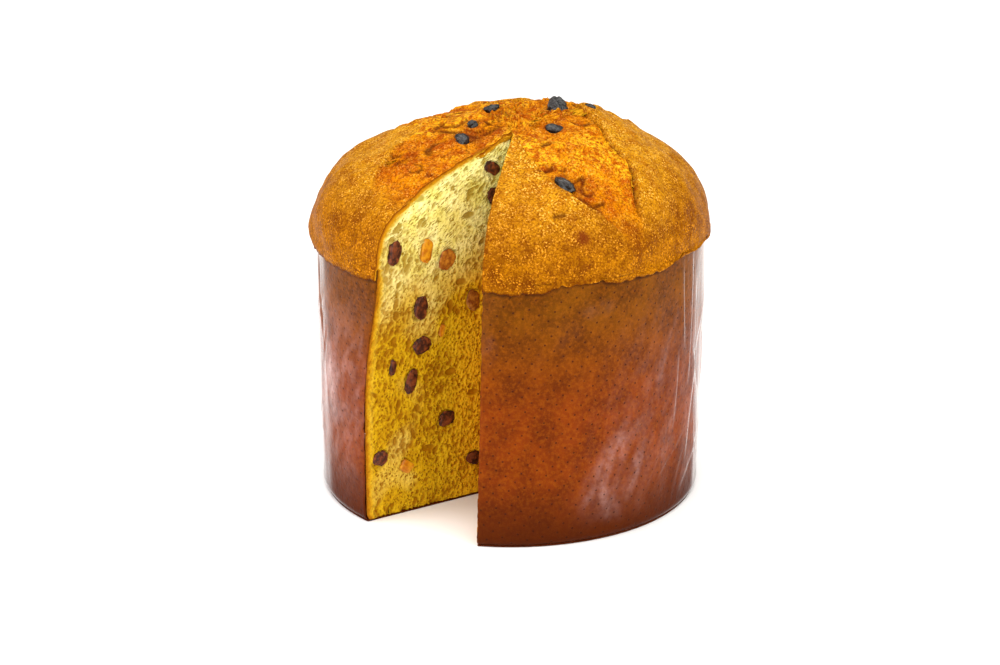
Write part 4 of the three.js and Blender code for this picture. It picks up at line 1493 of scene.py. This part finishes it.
@dataclass
class PaperCase:
    """The baking case: a thin creased wall and a base disc, cut through with the loaf."""

    form: LoafForm
    paper: float = 0.45
    columns: int = 440
    rows: int = 104
    folds: int = 90
    plan_radius: float = 85.0

    def creases(self, angle: Array, z: Array) -> tuple[Array, Array]:
        """The lines along which the paper was folded.

        Each is straight in the flat plan and seeded. With d the distance across it, the paper steps by
        tanh(d / width), fades back with exp(-d / 9) on its raised side, and has a small valley exp(-(d / width)^2).

        Args:
            angle: angles round the wall.
            z: heights.

        Returns:
            Radial distances in millimetres, negative inwards, and where a pale sheen is painted beside the folds, from
            0 to 1.
        """
        rng = np.random.default_rng(43)
        out, crease_sheen = np.zeros_like(z), np.zeros_like(z)
        u = angle * self.plan_radius
        for i in range(self.folds):
            off_u, off_z = u - rng.uniform(-106.0, 366.0), z - rng.uniform(12.0, 104.0)
            tilt, half = rng.normal(66.0, 24.0), rng.uniform(9.0, 30.0)
            width, depth = rng.uniform(0.7, 1.5), rng.uniform(0.15, 0.5)
            if i < len(UPRIGHT_FOLDS):
                at, level, half = UPRIGHT_FOLDS[i]
                off_u, off_z = u - math.radians(at) * self.plan_radius, z - level
                tilt, depth = 90.0 + 3.0 * (-1) ** i, 0.7
            along, across = turned(off_u, off_z, tilt)
            across = across + 0.0035 * along**2 * rng.uniform(-1.0, 1.0)
            ends = smooth(np.abs(along) / half, 1.0, 0.45)
            raised = (0.5 + 0.5 * np.tanh(across / width)) * np.exp(-np.maximum(across, 0.0) / 9.0)
            out += depth * ends * (raised - 0.7 * bell(across, width))
            crease_sheen = np.maximum(crease_sheen, ends * bell(across - 2.6, 2.4) * rng.uniform(0.2, 1.0))
        return out, crease_sheen

    def painted_sheen(self, angle: Array, z: Array, crease_sheen: Array) -> Array:
        """How strongly a pale sheen, a painted reflection, is laid on the paper: soft slanting streaks of noise, beside
        creases, and the listed places.

        Args:
            angle: angles round the wall.
            z: heights.
            crease_sheen: where a pale sheen is painted beside the creases.

        Returns:
            Numbers from 0 to 1.
        """
        u = angle * self.plan_radius
        streak = np.stack([u * 1.2 - z * 0.5, z * 0.5 + u * 0.15, np.zeros_like(u)], axis=-1)
        soft = smooth(layered(streak, 20.0, 121, 4), 0.0, 0.6)
        crisp = smooth(layered(streak, 4.0, 131, 3), -0.25, 0.3)
        dry = (0.08 * soft + 0.4 * crease_sheen * soft) * (1.0 - 0.9 * smooth(z, 75.0, 105.0))
        for sheen in SHEENS:
            centre = math.radians(sheen.place[0])
            off = (angle - centre + math.pi) % (2.0 * math.pi) - math.pi
            along, across = turned(off * self.plan_radius, z - sheen.place[1], sheen.tilt)
            shape = bell(along, sheen.size[0]) * bell(across, sheen.size[1])
            dry = np.maximum(dry, sheen.strength * shape * (0.2 + 0.4 * soft + 0.5 * crisp + 0.3 * crease_sheen))
        return np.clip(dry * smooth(z, 2.0, 22.0), 0.0, 1.0)

    def wall(self) -> Surface:
        """The wall: a band from the right cut round to the left cut, with an outer and an inner face.

        Returns:
            A closed surface with its flat plan.
        """
        z_low, z_high = self.form.base_thickness + 0.3, self.form.case_height - 0.6
        z = z_low + (z_high - z_low) * np.linspace(0.0, 1.0, self.rows) ** 1.15
        start = self.form.cut_angle(Side.RIGHT, z)
        end = self.form.cut_angle(Side.LEFT, z) + 2.0 * math.pi
        t = np.linspace(0.0, 1.0, self.columns)
        height = np.broadcast_to(z[:, None], (self.rows, self.columns))
        ragged = 0.004 * noise(np.stack([z * 0.0, z * 0.0, z], axis=-1), 2.4, 107)
        angle = (start + ragged)[:, None] * (1.0 - t) + (end - ragged)[:, None] * t
        folded, crease_sheen = self.creases(angle, height)
        upright = np.stack([angle * 136.0, height * 0.35, height * 0.0], axis=-1)
        hold = smooth(height, 0.5, 12.0) * (1.0 - 0.6 * smooth(height, 108.0, 118.0))
        stands = folded + 0.5 * noise(upright, 26.0, 101) + 0.25 * noise(upright, 11.0, 102) - 0.25
        radius = self.form.case_radius(height) + stands * hold
        outer, inner = (
            np.stack([r * np.cos(angle), r * np.sin(angle), height], axis=-1) for r in (radius, radius - self.paper)
        )
        points = np.concatenate([outer, inner[::-1]])
        index = numbered(points)
        faces = [grid_faces(np.concatenate([index, index[:1]]))[:, ::-1]]
        for column, flip in ((0, False), (-1, True)):
            faces.append(band(index[: self.rows, column], index[self.rows :, column][::-1], flip))
        plan = np.stack([angle * self.plan_radius, height], axis=-1)
        both = np.concatenate([plan, plan[::-1]]).reshape(-1, 2)
        tall = np.concatenate([height, height[::-1]]).ravel() / self.form.case_height
        dry = self.painted_sheen(angle, height, crease_sheen)
        below = self.form.lip(np.where(angle > math.pi, angle - 2.0 * math.pi, angle)) - height
        patchy = 0.55 + 0.45 * noise(np.concatenate([plan, height[..., None] * 0.0], axis=-1), 9.0, 109)
        lee = smooth(below, 1.8, 0.3) * np.clip(patchy, 0.0, 1.0)
        numbers = {k: np.concatenate([v, v[::-1]]).ravel() for k, v in (("dry", dry), ("lee", lee))} | {"height": tall}
        return Surface(points.reshape(-1, 3), faces, numbers, both)

    def base(self) -> Surface:
        """The base: a disc with the wedge's notch, from rings that shrink towards a point beside the notch.

        Returns:
            A closed surface with its flat plan.
        """
        thick = self.form.base_thickness
        start = float(self.form.cut_angle(Side.RIGHT, 0.4))
        end = float(self.form.cut_angle(Side.LEFT, 0.4)) + 2.0 * math.pi
        angle = np.linspace(start, end, 260)
        radius = float(self.form.case_radius(np.array(thick)))
        ring = np.stack([np.cos(angle), np.sin(angle)], axis=-1) * radius
        apex = self.form.apex(0.4)
        share = np.linspace(0.0, 1.0, 14)
        rows = apex + share[:, None, None] * (ring - apex)
        low = np.concatenate([rows, np.full((*rows.shape[:2], 1), 0.0)], axis=-1)
        high = np.concatenate([rows, np.full((*rows.shape[:2], 1), thick)], axis=-1)
        soft = high[-1:].copy()
        soft[..., :2] *= 1.0 + 0.12 / radius
        soft[..., 2] = thick * 0.55
        points = np.concatenate([low, soft, high[::-1]])
        index = numbered(points, poles=True)
        faces = [grid_faces(index)[:, ::-1]]
        for column, flip in ((0, False), (-1, True)):
            under, upper = index[: len(low), column], index[len(low) + 1 :, column][::-1]
            side = np.array([[under[-1], index[len(low), column], upper[-1], upper[-1]]])
            faces += [band(under, upper, flip), side[:, ::-1] if flip else side]
        flat = points.reshape(-1, 3)
        none = np.zeros(len(flat))
        numbers = {"height": flat[:, 2] / self.form.case_height, "dry": none, "lee": none}
        return Surface(flat, faces, numbers, flat[:, :2].copy())


# ---- the fruit


@dataclass
class FruitPieces:
    """Raisins and peel as wrinkled lumps."""

    form: LoafForm
    around: int = 56
    down: int = 40
    face_proud: float = 0.5
    top_sunk: float = 2.6

    def lump(self, size: tuple[float, float, float, float], power: float, seed: int) -> tuple[Array, Array]:
        """A wrinkled ball: a superellipsoid, with folds where ridged noise runs along it.

        Args:
            size: width, height, how far it stands proud of y = 0 and how far it sinks behind.
            power: 2 for a ball, more for flat sides.
            seed: picks the wrinkles.

        Returns:
            Rows by columns of points, poles included, and the depth of the folds from 0 to 1.
        """
        polar = np.linspace(0.0, math.pi, self.down)[:, None]
        round_ = np.linspace(0.0, 2.0 * math.pi, self.around, endpoint=False)[None, :]
        unit = np.stack(
            [np.sin(polar) * np.cos(round_), np.sin(polar) * np.sin(round_), np.cos(polar) + 0.0 * round_], axis=-1
        )
        ball = 1.0 / (np.abs(unit) ** power).sum(axis=-1) ** (1.0 / power)
        squeezed = unit * np.array([1.0, 1.0, 0.62])
        crease = ridged(squeezed + seed * 3.7, 0.42, seed) if power < 2.5 else ridged(unit + seed, 0.9, seed) * 0.4
        lumpy = 1.0 + 0.28 * noise(unit + seed * 1.9, 1.1, seed + 3) + 0.12 * noise(unit + seed, 0.5, seed + 5)
        lumpy -= 0.12 * smooth(crease, 0.35, 1.0) + 0.08 * ridged(unit * 1.3 + seed * 2.3, 0.3, seed + 7)
        shape = unit * (ball * lumpy)[..., None]
        deep = np.where(shape[..., 1] < 0.0, size[2], size[3])
        scaled = np.stack([shape[..., 0] * size[0] / 2.0, shape[..., 1] * deep, shape[..., 2] * size[1] / 2.0], axis=-1)
        return scaled, smooth(crease, 0.35, 1.0)

    def surface(self, points: Array, fold: Array, amber: float = 0.0) -> Surface:
        """Close a ball of rows and columns.

        Args:
            points: rows by columns.
            fold: a number for each.
            amber: how light the fruit is.

        Returns:
            The closed surface.
        """
        index = numbered(points, poles=True)
        numbers = {"fold": fold.ravel(), "amber": np.full(fold.size, amber)}
        return Surface(points.reshape(-1, 3), [grid_faces(index, wrap=True)], numbers)

    def on_face(self, side: Side, lumps_here: tuple[Lump, ...], seed: int) -> list[Surface]:
        """The fruit in one cut face; its width lies along the face and its depth into the loaf.

        Args:
            side: which face.
            lumps_here: the fruit.
            seed: picks the wrinkles.

        Returns:
            One surface for each.
        """
        made = []
        for i, lump in enumerate(lumps_here):
            power = 3.4 if lump.kind is Fruit.PEEL else 2.0
            local, fold = self.lump((lump.size[0], lump.size[1], self.face_proud, lump.size[2]), power, seed + i)
            x, z = turned(local[..., 0], local[..., 2], lump.turn)
            along, level = lump.place
            way = self.form.cut_direction(side, level)
            inward = np.append(self.form.cut_inward(side, level), 0.0)
            start = np.append(self.form.apex(level) + way * along, level)
            flat = np.concatenate([x[..., None] * way * side.value, z[..., None]], axis=-1)
            points = start + flat + local[..., 1:2] * inward
            made.append(self.surface(points, fold, lump.amber))
        return made

    def on_top(self, crust: Crust) -> list[Surface]:
        """The raisins baked onto the crust, each lying along the skin.

        Args:
            crust: gives the skin's height.

        Returns:
            One surface for each.
        """
        made = []
        for i, lump in enumerate(TOP_RAISINS):
            x, y = np.array(lump.place)[:, None] + np.array([[0.0, 2.5, -2.5, 0.0, 0.0], [0.0, 0.0, 0.0, 2.5, -2.5]])
            on = self.form.dome(self.form.disc_at(x, y))
            normal = np.cross(on[1] - on[2], on[3] - on[4])
            normal /= np.linalg.norm(normal)
            length = on[1] - on[2]
            length -= normal * (length @ normal)
            length /= np.linalg.norm(length)
            across = np.cross(length, -normal)
            around = on[0] + 3.5 * np.array([[1.0, 0.0, 0.0], [-1.0, 0.0, 0.0], [0.0, 1.0, 0.0], [0.0, -1.0, 0.0]])
            height = float(crust.relief(around)[0].mean())
            local, fold = self.lump((lump.size[0], lump.size[1], lump.size[2] + 0.4, self.top_sunk), 2.0, 300 + i)
            u, v = turned(local[..., 0], local[..., 2], -lump.turn)
            start = on[0] + normal * height * 0.8
            points = start + u[..., None] * length - local[..., 1:2] * normal + v[..., None] * across
            made.append(self.surface(points, fold))
        return made


# ---- camera, floor and light


@dataclass(frozen=True)
class Studio:
    """The studio: a white floor, soft lights and a long lens a little above the loaf."""

    turn: float = 26.5
    elevation: float = 0.339
    distance: float = 1300.0
    sideways: float = -4.484
    aim_height: float = 67.8
    lens: float = 105.32
    lit_height: float = 90.0

    def spin(self, point: tuple[float, float, float]) -> Vector:
        """A place in the camera's own axes as a place in the object's frame, in metres."""
        return Matrix.Rotation(math.radians(self.turn), 4, "Z") @ (Vector(point) * MM)

    def camera(self) -> None:
        """Set the camera."""
        data = bpy.data.cameras.new("studio_camera")
        data.lens = self.lens
        data.sensor_width = 36.0
        data.clip_end = 50.0
        camera = bpy.data.objects.new("studio_camera", data)
        bpy.context.scene.collection.objects.link(camera)
        flat, up = math.cos(self.elevation), math.sin(self.elevation)
        camera.location = self.spin((self.sideways, -self.distance * flat, self.aim_height + self.distance * up))
        camera.rotation_euler = (math.pi / 2.0 - self.elevation, 0.0, math.radians(self.turn))
        bpy.context.scene.camera = camera

    def lamp(
        self, name: str, at: tuple[float, float, float], size: tuple[float, float], power: float, colour: str
    ) -> None:
        """Hang a soft box that faces the middle of the loaf.

        Args:
            name: the lamp's name.
            at: its place in the camera's axes, in millimetres.
            size: width and height in metres.
            power: watts.
            colour: hex colour.
        """
        data = bpy.data.lights.new(name, "AREA")
        data.shape = "RECTANGLE"
        data.size, data.size_y = size
        data.energy = power
        data.color = hex_colour(colour)[:3]
        lamp = bpy.data.objects.new(name, data)
        lamp.location = self.spin(at)
        aim = self.spin((0.0, 0.0, self.lit_height)) - lamp.location
        lamp.rotation_euler = aim.to_track_quat("-Z", "Y").to_euler()
        bpy.context.scene.collection.objects.link(lamp)

    def floor(self) -> None:
        """Lay the white floor."""
        half = 6000.0
        corners = np.array([[-half, -half, 0.0], [half, -half, 0.0], [half, half, 0.0], [-half, half, 0.0]])
        floor = Surface(corners, [np.array([[0, 1, 2, 3]])]).to_object("studio_floor")
        floor.data.materials.append(StudioFloor().build())

    def light(self) -> None:
        """Set the soft light: a pale surround, a large soft box overhead, two in front and one on each side."""
        world = bpy.data.worlds.new("studio")
        bpy.context.scene.world = world
        world.use_nodes = True
        surround = world.node_tree.nodes["Background"].inputs
        surround["Color"].default_value = hex_colour("FFFFFF")
        surround["Strength"].default_value = 0.22
        self.lamp("soft_box_top", (-300.0, 350.0, 3000.0), (3.0, 3.0), 108.0, "FFFDF8")
        self.lamp("soft_box_front", (0.0, -1500.0, 780.0), (0.9, 0.7), 15.0, "FFFCF6")
        self.lamp("soft_box_front_right", (850.0, -1200.0, 1000.0), (1.0, 1.0), 15.0, "FFFCF6")
        self.lamp("soft_box_left", (-1350.0, -350.0, 480.0), (0.7, 1.3), 18.0, "FFF4F4")
        self.lamp("soft_box_right", (1300.0, -200.0, 600.0), (0.5, 1.4), 9.0, "FFFAF0")
        bpy.context.scene.view_settings.view_transform = "Standard"


# ---- putting it together


def fit(piece: bpy.types.Object, material: bpy.types.Material, nodes: list[str]) -> None:
    """Dress a piece and tie it to the frame.

    Args:
        piece: the new object.
        material: its material.
        nodes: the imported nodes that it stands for.
    """
    piece.data.materials.append(material)
    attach(piece, "root")
    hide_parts(*nodes)
    LOG.info("%s: %d faces for %s", piece.name, len(piece.data.polygons), ", ".join(nodes))


def named_nodes(start: str, count: int) -> list[str]:
    """Names of numbered nodes, from 1."""
    return [f"{start}_{i + 1}" for i in range(count)]


def main() -> None:
    """Build every piece in order, then the studio."""
    logging.basicConfig(level=logging.INFO, format="%(name)s: %(message)s")
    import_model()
    crust = Crust(FORM)
    fit(crust.build().to_object("crust"), BakedCrust().build(), ["loaf"])
    crumb = OpenCrumb().build()
    left = CrumbFace(FORM, Side.LEFT, LEFT_RAISINS + LEFT_PEELS)
    right = CrumbFace(FORM, Side.RIGHT, RIGHT_RAISINS + RIGHT_PEELS)
    fit(left.build().to_object("crumb_left"), crumb, ["loaf"])
    fit(right.build().to_object("crumb_right"), crumb, ["loaf"])
    case = PaperCase(FORM)
    paper = GreasedPaper().build()
    fit(case.wall().to_object("paper_wall"), paper, ["case_wall"])
    fit(case.base().to_object("paper_base"), paper, ["case_base"])
    fruit = FruitPieces(FORM)
    cut_raisin = DriedFruit("cut_raisin", 0.45, 0.3).build()
    raisins = fruit.on_face(Side.LEFT, LEFT_RAISINS, 100) + fruit.on_face(Side.RIGHT, RIGHT_RAISINS, 140)
    nodes = named_nodes("left_raisin", len(LEFT_RAISINS)) + named_nodes("right_raisin", len(RIGHT_RAISINS))
    fit(joined(raisins).to_object("cut_raisins"), cut_raisin, nodes)
    peels = fruit.on_face(Side.LEFT, LEFT_PEELS, 200) + fruit.on_face(Side.RIGHT, RIGHT_PEELS, 240)
    nodes = named_nodes("left_peel", len(LEFT_PEELS)) + named_nodes("right_peel", len(RIGHT_PEELS))
    fit(joined(peels).to_object("candied_peels"), CandiedPeel().build(), nodes)
    baked = DriedFruit("baked_raisin", 0.36, 0.5, "0A090A", "2A2625").build()
    nodes = named_nodes("top_raisin", len(TOP_RAISINS))
    fit(joined(fruit.on_top(crust)).to_object("baked_raisins"), baked, nodes)
    studio = Studio()
    studio.floor()
    studio.light()
    studio.camera()


if __name__ == "__main__":
    main()
